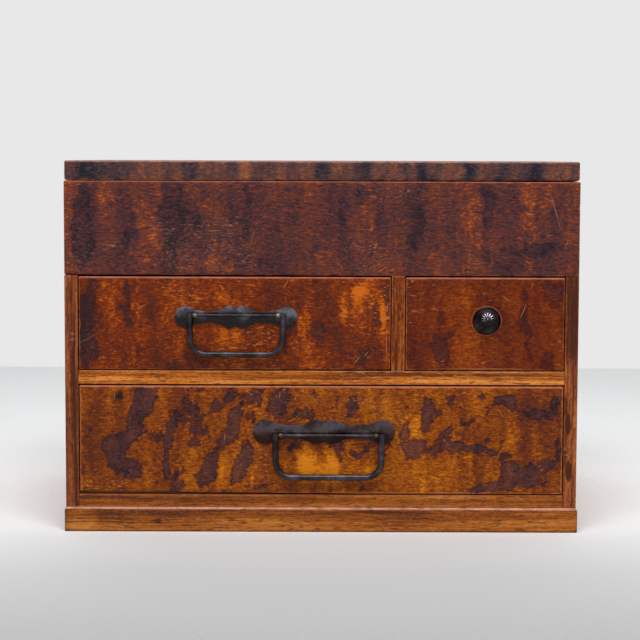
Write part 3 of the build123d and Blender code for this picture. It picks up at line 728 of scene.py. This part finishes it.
lowerBoard = {
    "bands": (58, 10, 20), "shift": (21.3, 0, 3.0), "contrast": 0.2, "cloudShare": 0.36, "level": 0.64,
    "ripples": (150, 14, 14), "rippleShare": 0.45, "ragged": 2.0, "darkRim": (0.32, 0.5), "lightLift": 0.36,
    "grainShare": 0.35, "mottleShare": 0.8, "web": (95, 12, 58), "webLean": 24, "webShare": 3.3,
    "figureShare": 0.8,
    "shades": (
        (-156, 62, 28, 50, -0.26), (150, 66, 34, 34, -0.16), (138, 86, 34, 16, -0.14),
        (-60, 92, 90, 14, -0.08), (-4, 44, 34, 16, 0.3), (60, 42, 60, 18, 0.08), (-95, 38, 40, 16, 0.06),
        (-136.5, 92, 4, 4.5, -1.0),
    ),
    "tones": (
        (0.0, (46, 24, 28)), (0.22, (76, 36, 28)), (0.42, (98, 42, 16)), (0.6, (124, 56, 8)),
        (0.8, (156, 80, 4)), (1.0, (190, 108, 10)),
    ),
    "patches": (
        (-121, 86, 10, 17, 20, -0.5), (-130, 65, 12, 5, -32, -0.4), (-136, 47, 10, 17, -14, -0.5),
        (-112, 35, 4, 12, 0, -0.36), (-94, 80, 8, 12, 24, -0.44), (-102, 64, 4, 14, 14, -0.4),
        (-105, 48, 3, 16, 0, -0.3), (-97, 38, 10, 11, 20, -0.42), (-82, 71, 8, 7, 0, -0.34),
        (-86, 60, 5, 5, 0, -0.34), (-66, 88, 5, 14, 52, -0.42), (-60, 70, 6, 26, 26, -0.42),
        (-75, 42, 7, 17, 14, -0.42), (-56, 44, 5, 20, 18, -0.44), (-43, 31, 8, 4, 0, -0.4),
        (-34, 89, 13, 11, 10, -0.32), (-46, 80, 4, 10, 20, -0.34), (-42, 51, 6, 9, 24, -0.3),
        (-25, 92, 5, 14, 8, -0.3), (-13, 81, 12, 5, 0, -0.3), (-17, 51, 8, 7, 20, -0.3),
        (-153, 36, 8, 6, 0, -0.12), (21, 89, 4, 14, 16, -0.3), (-3, 92, 4, 9, 0, -0.26),
        (70, 78, 5, 18, 8, -0.36), (62, 57, 11, 6, -10, -0.42), (57, 73, 4, 14, 0, -0.22),
        (84, 67, 6, 9, 20, -0.34), (88, 58, 9, 4.5, -16, -0.36), (88, 91, 9, 8, 0, -0.26),
        (113, 92, 17, 4, 14, -0.4), (134, 85, 14, 5, 22, -0.36), (150, 80, 11, 4, 0, -0.3),
        (158, 90, 4, 4, 0, -0.26), (110, 55, 17, 3.5, 12, -0.4), (128, 41, 9, 14, -6, -0.44),
        (141, 37, 8, 13, -20, -0.44), (118, 30, 18, 4, 0, -0.4), (155, 46, 9, 5, -12, -0.38),
        (13, 51, 3.5, 12, -6, -0.36), (22, 55, 6, 3, 30, -0.36), (28, 55, 6, 2.5, -45, -0.3),
        (26, 30, 5, 5, -40, -0.34), (50, 43, 4, 6, 0, -0.2), (-2, 44, 22, 13, 0, 0.4),
        (30, 42, 9, 12, 0, 0.3), (65, 75, 3, 13, 4, 0.3), (112, 44, 8, 12, 0, 0.26),
        (44, 38, 14, 9, 0, 0.16), (134, 29, 4, 4, 0, 0.4), (136, 43, 2.5, 8, 0, 0.3),
        (-114, 52, 7, 12, 0, 0.16), (-66, 44, 5, 13, 10, 0.2), (-46, 40, 4, 8, 0, 0.24),
        (130, 62, 12, 12, 0, 0.1),
    ),
    "wearAndPaintedEdgeLight": {
        "narrow": 0.7, "wide": 2.2, "paintedTopHighlight": 0.6, "topHighlightTone": (194, 112, 78), "rubTone": (184, 106, 58),
        "specks": 0.13, "speckTone": (214, 140, 80), "crowdShift": 3.3,
        "scratches": ((-34, 1.3), (40, 4.0)),
        "crowds": (
            (0, 94, 60, 10, 0.35), (-145, 90, 20, 10, 0.2), (60, 60, 30, 20, 0.12), (-30, 86, 26, 12, 0.25),
        ),
        "cuts": (
            (120.6, 81.6, 8.5, -31), (95, 86, 4.5, -40), (-65, 64, 6, 2), (-28, 93, 6, 6), (-17, 92, 7, 30),
            (-5, 90, 6, -30), (28, 88, 7, 40), (36, 84, 5, -55), (-38, 79, 5, 70), (-143, 76, 4, -30),
            (-139, 92, 5, 15), (42, 90, 6, 20), (-48, 94, 5, -60), (68, 93, 4, 84), (96, 95, 6, 70),
            (-20, 76, 8, 60),
        ),
    },
}

boards = {  # node: piece, settings, body, rise of its lower edge and the side that it rises to
    "lid": ("lidBoard", lidBoard, "lid", 0.5, 1),
    "front_panel": ("panelBoard", panelBoard, "carcass", 0.4, -1),
    "upper_left_drawer_front": ("upperLeftBoard", upperLeftBoard, "upper_left_drawer", 0.5, 1),
    "upper_right_drawer_front": ("upperRightBoard", upperRightBoard, "upper_right_drawer", 0.0, 1),
    "lower_drawer_front": ("lowerBoard", lowerBoard, "lower_drawer", 1.3, -1),
}


def makeBoards():
    cut = boardCut
    for number, (node, (name, board, body, rise, side)) in enumerate(boards.items()):
        low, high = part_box(node)
        arris = (cut["lidArris"] if node == "lid" else cut["frontArris"]) * mm
        face = high.copy()
        if node.endswith("drawer_front"):
            face.y = low.y + cut["frontLap"] * mm
        work = slicedBlock(low, face, arris)
        if node.endswith("drawer_front"):
            inner = Vector((low.x + cut["wall"] * mm, face.y, low.z + cut["bottomLap"] * mm))
            outer = Vector((high.x - cut["wall"] * mm, high.y, high.z - 2 * arris))
            addTenon(work, face.y, inner, outer)
        wearArrises(work, low, face, 31 * number + 5)
        if rise:
            bowEdge(work, low, face, rise, side)
        piece = finishMesh(name, work, 40)
        settle(piece, body, "figured_wood", figuredWood(name + "Wood", board, low, high), node)


makeBoards()
print("figured boards made")


# frame members, inner woods and nails keep the frame's own solids

frameTones = {
    "stile": ((0.0, (78, 34, 16)), (0.3, (122, 58, 26)), (0.6, (156, 84, 36)), (1.0, (194, 116, 60))),
    "rail": ((0.0, (84, 36, 8)), (0.25, (134, 62, 8)), (0.5, (168, 85, 10)), (0.75, (196, 110, 30)),
             (1.0, (224, 142, 66))),
    "base": ((0.0, (80, 38, 10)), (0.3, (130, 64, 12)), (0.6, (162, 88, 20)), (1.0, (194, 122, 52))),
    "divider": ((0.0, (60, 20, 4)), (0.35, (96, 36, 2)), (0.65, (124, 53, 6)), (1.0, (164, 86, 26))),
}
leftStile = {
    "calmFrom": -116,
    "streakShare": 2.2,
    "knots": ((-166, -116, 60, 1.3, 6, 110, -0.7), (-169, -116, 150, 3, 6, 30, -0.3)),
}
rightStile = {
    "calmFrom": -116,
    "streakShare": 2.2,
    "knots": (
        (164, -116, 86, 2.6, 6, 9, -1.0), (167, -116, 74, 2.4, 6, 9, -1.0), (164, -116, 51, 2.6, 6, 8, -1.0),
        (168, -116, 42, 2.6, 6, 9, -1.0), (171, -116, 130, 3, 6, 60, -0.35), (167.5, -116, 150, 9, 6, 44, -0.7),
    ),
}
plinthFront = {"knots": ((-110, -118, 8, 3, 4, 2, -0.8), (-162, -118, 8, 14, 8, 12, 0.3))}
frameWoods = {  # node: tones, axis of the grain, shift of the pattern, own settings
    "left_side": ("stile", 2, (1.0, 0.4, 0.2), leftStile),
    "right_side": ("stile", 2, (5.0, 2.4, 1.2), rightStile),
    "middle_shelf": ("rail", 0, (2.0, 1.4, 7.2), {"streakShare": 2.4}),
    "bottom_board": ("base", 0, (3.0, 0.4, 4.2), {"lineStrength": 0.5, "poreStrength": 0.6}),
    "drawer_divider": ("divider", 2, (6.0, 3.4, 0.2), {"poreStrength": 0.9, "streakShare": 2.6}),
    "plinth_front": ("base", 0, (8.0, 0.4, 9.2), plinthFront),
    "plinth_back": ("base", 0, (9.0, 5.4, 1.2), {}),
    "plinth_left": ("base", 1, (2.0, 6.4, 3.2), {}),
    "plinth_right": ("base", 1, (4.0, 7.4, 5.2), {}),
}
frameWearAndPaintedEdgeLight = {
    "stile": {"rubTone": (168, 92, 52), "narrow": 0.4, "wide": 1.2, "rub": 0.45, "scratchStrength": 0.12},
    "rail": {"rubTone": (214, 138, 82), "narrow": 0.3, "wide": 1.4, "specks": 0.16,
             "speckTone": (226, 150, 92)},
    "base": {"rubTone": (186, 112, 66), "narrow": 0.4, "wide": 1.4, "rub": 0.5},
    # the plinth's dark arrises are painted shade, and its pale upper line is a painted highlight
    "plinth": {"rub": 0.1, "wide": 1.0, "rim": 0.75, "arrisShadeTone": (66, 32, 24), "arrisShadeReach": 1.3,
               "paintedTopHighlight": 0.85},
    "divider": {"rubTone": (186, 108, 52), "narrow": 0.4, "wide": 1.6, "specks": 0.16},
}
bareWood = {  # bare, aged softwood inside the drawers and at the back
    "tones": ((0.0, (110, 72, 46)), (0.35, (142, 98, 66)), (0.7, (166, 120, 84)), (1.0, (186, 144, 106))),
    "poreTone": (96, 62, 42),
    "poreStrength": 0.3,
    "lineStrength": 0.35,
    "streakShare": 0.9,
    "fibreShare": 0.9,
    "gloss": 0.62,
    "specular": 0.25,
    "wearAndPaintedEdgeLight": {"rub": 0.35, "rubTone": (196, 160, 118), "arrisShadeTone": (96, 66, 42), "rim": 0.4, "specks": 0.03},
}
nailTones = ((0.3, (112, 76, 42)), (0.5, (158, 116, 70)), (0.7, (186, 146, 96)))


def paint(node, material):
    # every slot of a frame node's own mesh gets the material
    holder = nodes[node]
    for one in [holder] + list(holder.children_recursive):
        if one.type == "MESH":
            if not one.material_slots:
                one.data.materials.append(material)
            for place in one.material_slots:
                place.material = material


def isInner(node):
    last = node.split("_drawer_")[-1]
    inDrawer = last != node and last in ("left_side", "right_side", "back", "bottom")
    return inDrawer or node in ("back_board", "compartment_floor")


def dressFrame():
    for node, (kind, along, shift, own) in frameWoods.items():
        wearAndPaintedEdgeLight = frameWearAndPaintedEdgeLight["plinth" if node.startswith("plinth") else kind]
        tones = frameTones[kind]
        wood = {"tones": tones, "poreTone": tones[0][1], "shift": shift, "wearAndPaintedEdgeLight": wearAndPaintedEdgeLight, **own}
        paint(node, straightWood(node + "Wood", wood, along, *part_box(node)))
    for node in nodes:
        if isInner(node):
            low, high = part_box(node)
            size = high - low
            along = max(range(3), key=lambda axis: size[axis])
            wood = {**bareWood, "shift": tuple(40 * part for part in low)}
            paint(node, straightWood(node + "Wood", wood, along, low, high))


def nailWood():
    f = Finish("bambooNail", roughness=0.55, specular=0.3)
    fibres = f.noise((900, 900, 900), rough=0.6)
    f.shade("Base Color", f.ramp(fibres, nailTones))
    f.relief(fibres, 0.1)
    return f.material


dressFrame()
woodNails = nailWood()
for node in ["carcass_nails", "plinth_nails"] + [name for name in nodes if name.endswith("drawer_nails")]:
    paint(node, woodNails)
print("frame woods and nails dressed")


# iron and brass

ironLook = {
    "metallic": 0.9,
    "gloss": 0.36,
    "tones": ((0.0, (40, 35, 36)), (0.4, (60, 54, 57)), (0.75, (72, 66, 71)), (1.0, (90, 84, 91))),
    "depth": 0.02,
}
# the upper plate's iron: paler than the bail's as a painted reflection of the sky, with painted shade below the
# bar and painted light above it
plateLook = {
    **ironLook,
    "tones": ((0.0, (48, 42, 44)), (0.4, (74, 69, 75)), (0.75, (96, 91, 100)), (1.0, (122, 117, 127))),
    "depth": 0.06,
    "paintedShadeBelowLightAbove": (146.6, -0.6, 0.4),
}
# the lower plate, with real rust, and the same painted shade below its bar and painted light above it
rustyLook = {
    **plateLook,
    "tones": ((0.0, (38, 29, 28)), (0.4, (58, 47, 47)), (0.75, (76, 64, 66)), (1.0, (94, 86, 92))),
    "paintedShadeBelowLightAbove": (67.0, -0.6, 0.4),
    "rust": ((-40, 66, 12, 0.35), (44, 70, 12, 0.35), (2, 62, 9, 0.25)),
    "rustTone": (92, 52, 40),
}
knobLook = {**ironLook, "gloss": 0.4, "tones": ((0.0, (26, 20, 20)), (0.5, (42, 34, 34)), (1.0, (66, 56, 56)))}
# the knob's petals: paler than the knob's iron as a painted highlight, lighter at the top and darker below as
# painted light and shade
paintedHighlightPetalLook = {
    **ironLook,
    "gloss": 0.3,
    "metallic": 0.8,
    "tones": ((0.0, (52, 46, 48)), (0.35, (110, 102, 106)), (0.6, (160, 152, 158)), (1.0, (214, 208, 214))),
    "paintedShadeBelowLightAbove": (144.6, -1.1, 0.4),
}
brassLook = {
    "metallic": 0.7,
    "gloss": 0.36,
    "tones": ((0.0, (66, 52, 42)), (0.5, (104, 88, 72)), (1.0, (156, 142, 122))),
    "depth": 0.05,
}
blackIron = agedMetal("blackIron", ironLook)
plateIron = agedMetal("plateIron", plateLook)
rustyIron = agedMetal("rustyIron", rustyLook)
knobIron = agedMetal("knobIron", knobLook)
petalIron = agedMetal("petalIron", paintedHighlightPetalLook)
oldBrass = agedMetal("oldBrass", brassLook)

upperHandle = {
    "plateMiddle": (-57.4, 145.6),
    "length": 82.4,
    "lobe": 7.25,
    "neck": 3.6,
    "bump": 7.6,
    "notch": 6.0,
    "bumpX": 4.2,
    "neckX": 17.5,
    "bailShift": 0.4,
    "bailRise": 1.4,
    "width": 62.7,
    "drop": 26.3,
    "wire": 1.95,
}
lowerHandle = {
    "plateMiddle": (1.8, 68.1),
    "length": 95.8,
    "lobe": 8.3,
    "neck": 4.5,
    "bump": 8.1,
    "notch": 6.8,
    "bumpX": 5.4,
    "neckX": 20.0,
    "bailShift": 3.1,
    "bailRise": -2.0,
    "width": 71.9,
    "drop": 28.5,
    "wire": 2.15,
    "spareHole": (2.9, 3.0, 0.95),
}
handleParts = {
    "frontY": -116.5,
    "frontThickness": 11.0,
    "plate": 0.9,
    "plateArris": 0.3,
    "corner": 10.2,
    "lean": 0.8,
    "unevenness": 0.03,
    "overrun": 1.2,
    "wireArris": 0.5,
    "bar": 0.9,
    "plateGap": 0.9,
    "pinGap": 0.35,
    "pinWidth": 2.6,
    "pinStrip": 0.6,
    "pinTail": 7.0,
    "pinHole": 1.53,
}
upright = Matrix(((1, 0, 0, 0), (0, 0, -1, 0), (0, 1, 0, 0), (0, 0, 0, 1)))  # turns up to the front


def cuspedCorners(h):
    # corners of the plate's outline with their handles, once round from the upper notch
    lobe, bump, neck, notch = h["lobe"], h["bump"], h["neck"], h["notch"]
    bumpX, neckX, lobeX = h["bumpX"], h["neckX"], h["length"] / 2 - lobe
    span = neckX - bumpX

    def onLobe(degrees):
        angle = math.radians(degrees)
        point = Vector((lobeX + lobe * math.cos(angle), lobe * math.sin(angle)))
        return point, Vector((math.sin(angle), -math.cos(angle)))

    meet, along = onLobe(116)
    flare = meet.x - neckX
    arm = 4 / 3 * math.tan(math.radians(14.5)) * lobe
    rise = notch + 0.75 * (bump - notch)
    quarter = [
        ((0, notch), (-0.4 * bumpX, rise), (0.4 * bumpX, rise)),
        ((bumpX, bump), (0.62 * bumpX, bump), (bumpX + 0.32 * span, bump)),
        ((neckX, neck), (neckX - 0.62 * span, neck), (neckX + 0.5 * flare, neck)),
        (meet, meet - along * 0.35 * flare, meet + along * arm),
    ]
    for degrees in (58, 0):
        point, way = onLobe(degrees)
        quarter.append((point, point - way * arm, point + way * arm))

    def flipped(corners, x, y, back):
        turned = [tuple(Vector((p[0] * x, p[1] * y)) for p in corner) for corner in corners]
        if back:
            turned = [(point, after, before) for point, before, after in reversed(turned)]
        return turned

    ring = flipped(quarter, 1, 1, False) + flipped(quarter[:-1], 1, -1, True)
    return ring + flipped(quarter[1:], -1, -1, False) + flipped(quarter[1:-1], -1, 1, True)


def pinReach(h):
    # from the bail's middle to a split pin's middle, in mm
    p = handleParts
    return h["width"] / 2 - h["wire"] - p["pinGap"] - p["pinWidth"] / 2


def onBar(h, side):
    # the middle of the thin bar that the bail turns on, or the place of the pin on one side, in mm
    p = handleParts
    out = p["plate"] + p["plateGap"] + h["wire"]
    x, z = h["plateMiddle"]
    return x + h["bailShift"] + side * pinReach(h), p["frontY"] - out, z + h["bailRise"]


def addRing(drawn, points, kind):
    # a closed curve; each point is its place and its two handles, in mm
    ring = drawn.splines.new("BEZIER")
    ring.bezier_points.add(len(points) - 1)
    ring.use_cyclic_u = True
    for knot, (place, before, after) in zip(ring.bezier_points, points):
        knot.handle_left_type = knot.handle_right_type = kind
        knot.co = (place[0] * mm, place[1] * mm, 0)
        if kind == "FREE":
            knot.handle_left = (before[0] * mm, before[1] * mm, 0)
            knot.handle_right = (after[0] * mm, after[1] * mm, 0)


def makePlate(name, h):
    # a flat outline with its pin holes, thickened and rounded as a curve, then stood up
    p = handleParts
    drawn = bpy.data.curves.new(name + "Outline", "CURVE")
    drawn.dimensions = "2D"
    drawn.fill_mode = "BOTH"
    drawn.resolution_u = 16
    addRing(drawn, cuspedCorners(h), "FREE")
    holes = [(h["bailShift"] + side * pinReach(h), h["bailRise"], p["pinHole"]) for side in (-1, 1)]
    if "spareHole" in h:
        out, up, radius = h["spareHole"]
        holes.append((h["bailShift"] - pinReach(h) - out, h["bailRise"] + up, radius))
    for x, y, radius in holes:
        ways = ((1, 0), (0, 1), (-1, 0), (0, -1))
        addRing(drawn, [((x + dx * radius, y + dy * radius), None, None) for dx, dy in ways], "AUTO")
    drawn.extrude = (p["plate"] / 2 - p["plateArris"]) * mm
    drawn.bevel_depth = p["plateArris"] * mm
    drawn.bevel_resolution = 2
    drawn.offset = -p["plateArris"] * mm
    holder = placed(name + "Outline", drawn)
    bpy.context.view_layer.update()
    mesh = bpy.data.meshes.new_from_object(holder.evaluated_get(bpy.context.evaluated_depsgraph_get()))
    bpy.data.objects.remove(holder)
    work = bmesh.new()
    work.from_mesh(mesh)
    bpy.data.meshes.remove(mesh)
    bmesh.ops.remove_doubles(work, verts=work.verts, dist=1e-6)
    x, z = h["plateMiddle"]
    place = Matrix.Translation(Vector((x, p["frontY"] - p["plate"] / 2, z)) * mm)
    bmesh.ops.transform(work, matrix=place @ upright, verts=work.verts)
    return finishMesh(name, work, 25)


def spin(work, geom, centre, axis, angle, steps, closed):
    return bmesh.ops.spin(work, geom=geom, cent=centre, axis=axis, dvec=(0, 0, 0), angle=angle, steps=steps,
                          use_merge=closed, use_duplicate=False)["geom_last"]


def edgesOf(geom):
    return [item for item in geom if isinstance(item, bmesh.types.BMEdge)]


class Led:
    # a section's edge loop led along straights and bends
    def __init__(self, work, section, heading):
        self.work = work
        self.heading = Vector(heading)
        self.loop = section

    def verts(self):
        return list({vert for edge in self.loop for vert in edge.verts})

    def middle(self):
        verts = self.verts()
        return sum((vert.co for vert in verts), Vector()) / len(verts)

    def straight(self, length, steps):
        for _ in range(steps):
            self.loop = edgesOf(bmesh.ops.extrude_edge_only(self.work, edges=self.loop)["geom"])
            bmesh.ops.translate(self.work, vec=self.heading * length / steps, verts=self.verts())

    def bend(self, centre, axis, angle, steps):
        last = spin(self.work, self.loop + self.verts(), centre, axis, angle, steps, False)
        self.loop = edgesOf(last)
        self.heading = Matrix.Rotation(angle, 3, Vector(axis)) @ self.heading


def capEnds(work, arris):
    loose = [edge for edge in work.edges if edge.is_boundary]
    caps = bmesh.ops.holes_fill(work, edges=loose, sides=0)["faces"]
    if arris:
        bevel(work, list({edge for face in caps for edge in face.edges}), arris, 2)


def makeBail(name, h):
    # legs, two bends and the grip in one run; then the thin bar through the eyes
    p = handleParts
    pivot = Vector(onBar(h, 0)) * mm
    half, drop, corner, overrun = h["width"] / 2 * mm, h["drop"] * mm, p["corner"] * mm, p["overrun"] * mm
    leg = drop + overrun - corner
    top = Matrix.Translation(pivot + Vector((-half, 0, overrun)))
    work = bmesh.new()
    bmesh.ops.create_circle(work, cap_ends=False, radius=h["wire"] * mm, segments=20, matrix=top)
    wire = Led(work, work.edges[:], (0, 0, -1))
    wire.straight(leg, 6)
    wire.bend(wire.middle() + Vector((corner, 0, 0)), (0, -1, 0), math.pi / 2, 12)
    wire.straight(2 * half - 2 * corner, 16)
    wire.bend(wire.middle() + Vector((0, 0, corner)), (0, -1, 0), math.pi / 2, 12)
    wire.straight(leg, 6)
    capEnds(work, p["wireArris"] * mm)
    for vert in work.verts:  # the legs lean in a little towards the grip, and the wire isn't quite even
        down = (pivot.z - vert.co.z) / drop
        vert.co.x -= math.copysign(p["lean"] * mm * max(0, down), vert.co.x - pivot.x)
        vert.co.z += p["unevenness"] * mm * noise.noise(vert.co * 60)
    bar = Matrix.Translation(pivot) @ Matrix.Rotation(math.pi / 2, 4, "Y")
    bmesh.ops.create_cone(work, cap_ends=True, segments=16, radius1=p["bar"] * mm, radius2=p["bar"] * mm,
                          depth=2 * half, matrix=bar)
    return finishMesh(name, work, 40)


def flatSection(middle, wide, tall):
    # a section that stands across the way to the back
    stood = Matrix.Translation(middle) @ Matrix.Rotation(math.pi / 2, 4, "X")
    return stood @ Matrix.Diagonal((wide, tall, 1, 1))


def makeSplitPins(name, h):
    # an eye of half-flat wire round the bail's bar, a shank through the wood and two spread tails
    p = handleParts
    strip, wide, bar = p["pinStrip"] * mm, p["pinWidth"] * mm, p["bar"] * mm
    innerY = (p["frontY"] + p["frontThickness"] - 0.2) * mm
    work = bmesh.new()
    for side in (-1, 1):
        pivot = Vector([part * mm for part in onBar(h, side)])
        section = flatSection(pivot + Vector((0, 0, bar + 0.55 * strip)), 0.5 * wide, 0.55 * strip)
        known = set(work.edges)
        bmesh.ops.create_circle(work, cap_ends=False, radius=1, segments=12, matrix=section)
        ring = [edge for edge in work.edges if edge not in known]
        rim = list({vert for edge in ring for vert in edge.verts})
        spin(work, ring + rim, pivot, (1, 0, 0), 2 * math.pi, 24, True)
        for half in (-1, 1):
            begin = pivot + Vector((0, bar, half * 0.5 * strip))
            section = flatSection(begin, 0.92 * wide, 0.96 * strip)
            known = set(work.edges)
            made = bmesh.ops.create_grid(work, x_segments=1, y_segments=1, size=0.5, matrix=section)["verts"]
            edges = [edge for edge in work.edges if edge not in known]
            bmesh.ops.delete(work, geom=made[0].link_faces[:], context="FACES_ONLY")
            strand = Led(work, edges, (0, 1, 0))
            strand.straight(innerY - begin.y, 2)
            strand.bend(strand.middle() + Vector((0, 0, half * 0.7 * strip)), (half, 0, 0), math.pi / 2, 5)
            strand.straight(p["pinTail"] * mm - 1.2 * strip, 3)
    capEnds(work, 0.0)
    return finishMesh(name, work, 50)


def makeHandles():
    for name, h, body, iron in (
        ("upper", upperHandle, "upper_left_drawer", plateIron),
        ("lower", lowerHandle, "lower_drawer", rustyIron),
    ):
        settle(makePlate(name + "CuspedPlate", h), body, "iron", iron, name + "_handle_back_plate")
        settle(makeBail(name + "DropBail", h), name + "_bail", "iron", blackIron, name + "_handle_bail")
        settle(makeSplitPins(name + "SplitPins", h), body, "brass", oldBrass, name + "_handle_split_pins")


makeHandles()
print("handles made")


knobShape = {  # profiles are (radius, height out of the drawer's front) in mm
    "middle": (110.7, 143.5),
    "tilt": 11.0,
    "plateProfile": ((3.0, 0.1), (9.65, 0.0), (9.65, 0.55), (9.45, 1.05), (9.05, 1.3), (8.65, 1.12), (8.3, 0.8),
                     (7.2, 0.95), (5.6, 1.5), (4.2, 1.95), (3.0, 2.05), (3.0, 0.1)),
    "headProfile": ((0.0, 0.7), (2.4, 0.7), (2.4, 3.6), (3.2, 5.6), (4.7, 6.4), (5.35, 6.9), (5.35, 7.2),
                    (4.6, 7.75), (2.8, 8.2), (0.0, 8.3)),
    "shankRadius": 1.7,
    "shankLength": 11.0,
    "shankMiddle": 7.0,
    "petals": 14,
    "petalSize": (1.95, 0.46, 0.6),
    "petalOut": 3.15,
    "petalSink": 0.32,
    "petalDip": 15.0,
    "eye": 0.95,
    "eyeRise": 0.1,
}


def lathe(work, profile, steps):
    points = [work.verts.new((radius * mm, 0, out * mm)) for radius, out in profile]
    lines = [work.edges.new(pair) for pair in zip(points, points[1:])]
    spin(work, points + lines, (0, 0, 0), (0, 0, 1), 2 * math.pi, steps, True)


def addBead(work, size):
    bead = bmesh.ops.create_uvsphere(work, u_segments=12, v_segments=8, radius=mm)["verts"]
    bmesh.ops.scale(work, vec=size, verts=bead)
    return bead


def makeKnob():
    k, still = knobShape, (0, 0, 0)
    x, z = k["middle"]
    place = Matrix.Translation(Vector((x, handleParts["frontY"], z)) * mm) @ upright
    tilted = place @ Matrix.Rotation(math.radians(-k["tilt"]), 4, "X")

    work = bmesh.new()
    lathe(work, k["plateProfile"], 64)
    bmesh.ops.transform(work, matrix=place, verts=work.verts)
    settle(finishMesh("knobRose", work, 50), "upper_right_drawer", "iron", knobIron, "knob_plate")

    work = bmesh.new()
    lathe(work, k["headProfile"], 48)
    bmesh.ops.remove_doubles(work, verts=work.verts, dist=1e-6)
    bmesh.ops.transform(work, matrix=tilted, verts=work.verts)
    shank = place @ Matrix.Translation((0, 0, -k["shankMiddle"] * mm))
    bmesh.ops.create_cone(work, cap_ends=True, segments=20, radius1=k["shankRadius"] * mm,
                          radius2=k["shankRadius"] * mm, depth=k["shankLength"] * mm, matrix=shank)
    settle(finishMesh("knobHead", work, 45), "upper_right_drawer", "iron", knobIron, "knob")

    work = bmesh.new()
    top = k["headProfile"][-1][1]
    dip = Matrix.Rotation(math.radians(k["petalDip"]), 3, "Y")
    for number in range(k["petals"]):
        petal = addBead(work, k["petalSize"])
        turn = Matrix.Rotation(2 * math.pi * (number + 0.5) / k["petals"], 3, "Z")
        bmesh.ops.rotate(work, cent=still, matrix=dip, verts=petal)
        bmesh.ops.translate(work, vec=Vector((k["petalOut"], 0, top - k["petalSink"])) * mm, verts=petal)
        bmesh.ops.rotate(work, cent=still, matrix=turn, verts=petal)
    eye = addBead(work, (k["eye"], k["eye"], 0.6 * k["eye"]))
    bmesh.ops.translate(work, vec=(0, 0, (top + k["eyeRise"]) * mm), verts=eye)
    bmesh.ops.transform(work, matrix=tilted, verts=work.verts)
    settle(finishMesh("knobPetals", work, 45), "upper_right_drawer", "iron", petalIron)


makeKnob()
for node in nodes:
    if "hinge" in node or node == "knob_washer":
        paint(node, blackIron)
print("knob and hinges dressed")


# pale floor and wall

room = {
    "reach": 6000,
    "nearY": -5000,
    "wallY": 865.0,
    "wallTop": 5000,
    "wallTone": (232, 232, 232),
    "speckTone": (205, 205, 203),
    # the tone of the painted shadow in front of the chest, the floor's painted shade by depth, and the painted
    # light spots beside the chest
    "paintedShadowTone": (178, 178, 179),
    "floorPaintedShadeTones": ((0.0, (238, 239, 240)), (0.4, (180, 180, 181)), (0.48, (206, 207, 208)),
                   (0.55, (238, 239, 240)), (0.63, (250, 251, 252)), (0.75, (244, 245, 246)),
                   (1.0, (232, 233, 234))),
    "paintedLightSpot": (130, 200, 1000),
    "paintedLightPlace": (190, 50, 0),
}


def stagePlane(name, corners):
    work = bmesh.new()
    work.faces.new([work.verts.new(Vector(corner) * mm) for corner in corners])
    mesh = bpy.data.meshes.new(name)
    work.to_mesh(mesh)
    work.free()
    plane = placed(name, mesh)
    return plane


def floorMaterial():
    # painted shadow, grey, in front of the chest's foot, painted light beside it, painted shade darker towards
    # the camera, with fine grit
    f = Finish("paleFloor", roughness=0.8, specular=0.1)
    x, y, z = f.axes()
    # the floor's tone by depth is painted shade: darker towards the camera within the view, palest just behind
    # the chest's front
    depth = f.span(y, -1.2, 0.8, smooth=False)
    # painted shadow of the chest on the floor in front of its foot
    paintedFootShadow = f.span(f.math("ABSOLUTE", x), 0.08, 0.26, 0.3, 0.0)
    paintedFootShadow = f.math("MULTIPLY", paintedFootShadow, f.span(y, -0.14, -0.1, 1.0, 0.0))
    colour = f.stain(f.ramp(depth, room["floorPaintedShadeTones"]), paintedFootShadow, room["paintedShadowTone"])
    # painted light on the floor beside the chest, where its shadow would fall
    right, back, up = room["paintedLightPlace"]
    for side in (-1, 1):
        near = f.ball(room["paintedLightSpot"], (side * right, back, up))
        colour = f.mix(f.span(near, 0.0, 0.9, 0.0, 0.9), colour, (1, 1, 1, 1))
    grit = f.noise((260, 260, 260), detail=4.0, rough=0.7)
    f.shade("Base Color", f.stain(colour, f.span(grit, 0.5, 0.75, 0.0, 0.35), room["speckTone"]))
    return f.material


def wallMaterial():
    # glows evenly to the eye and in reflections, and is clear from behind
    f = Finish("paleWall", roughness=0.9, specular=0.0)
    f.shade("Base Color", tone(*room["wallTone"]))
    rays = f.node("ShaderNodeLightPath").outputs
    seen = f.math("MAXIMUM", rays["Is Camera Ray"], rays["Is Glossy Ray"])
    seen = f.math("MAXIMUM", seen, rays["Is Transmission Ray"])
    glow = f.node("ShaderNodeEmission")
    f.feed(glow.inputs["Color"], tone(*room["wallTone"]))
    lit = f.feedAll(f.node("ShaderNodeMixShader"), (seen, f.shader.outputs["BSDF"], glow.outputs[0]))
    clear = f.node("ShaderNodeBsdfTransparent").outputs[0]
    behind = f.node("ShaderNodeNewGeometry").outputs["Backfacing"]
    f.feed(f.output.inputs["Surface"], f.feedAll(f.node("ShaderNodeMixShader"), (behind, lit, clear)))
    return f.material


def makeRoom():
    side, near, back, top = room["reach"], room["nearY"], room["wallY"], room["wallTop"]
    floor = stagePlane("paleFloor", ((-side, near, 0), (side, near, 0), (side, back, 0), (-side, back, 0)))
    floor.data.materials.append(floorMaterial())
    wall = stagePlane("paleWall", ((-side, back, 0), (side, back, 0), (side, back, top), (-side, back, top)))
    wall.data.materials.append(wallMaterial())


makeRoom()
print("room made")
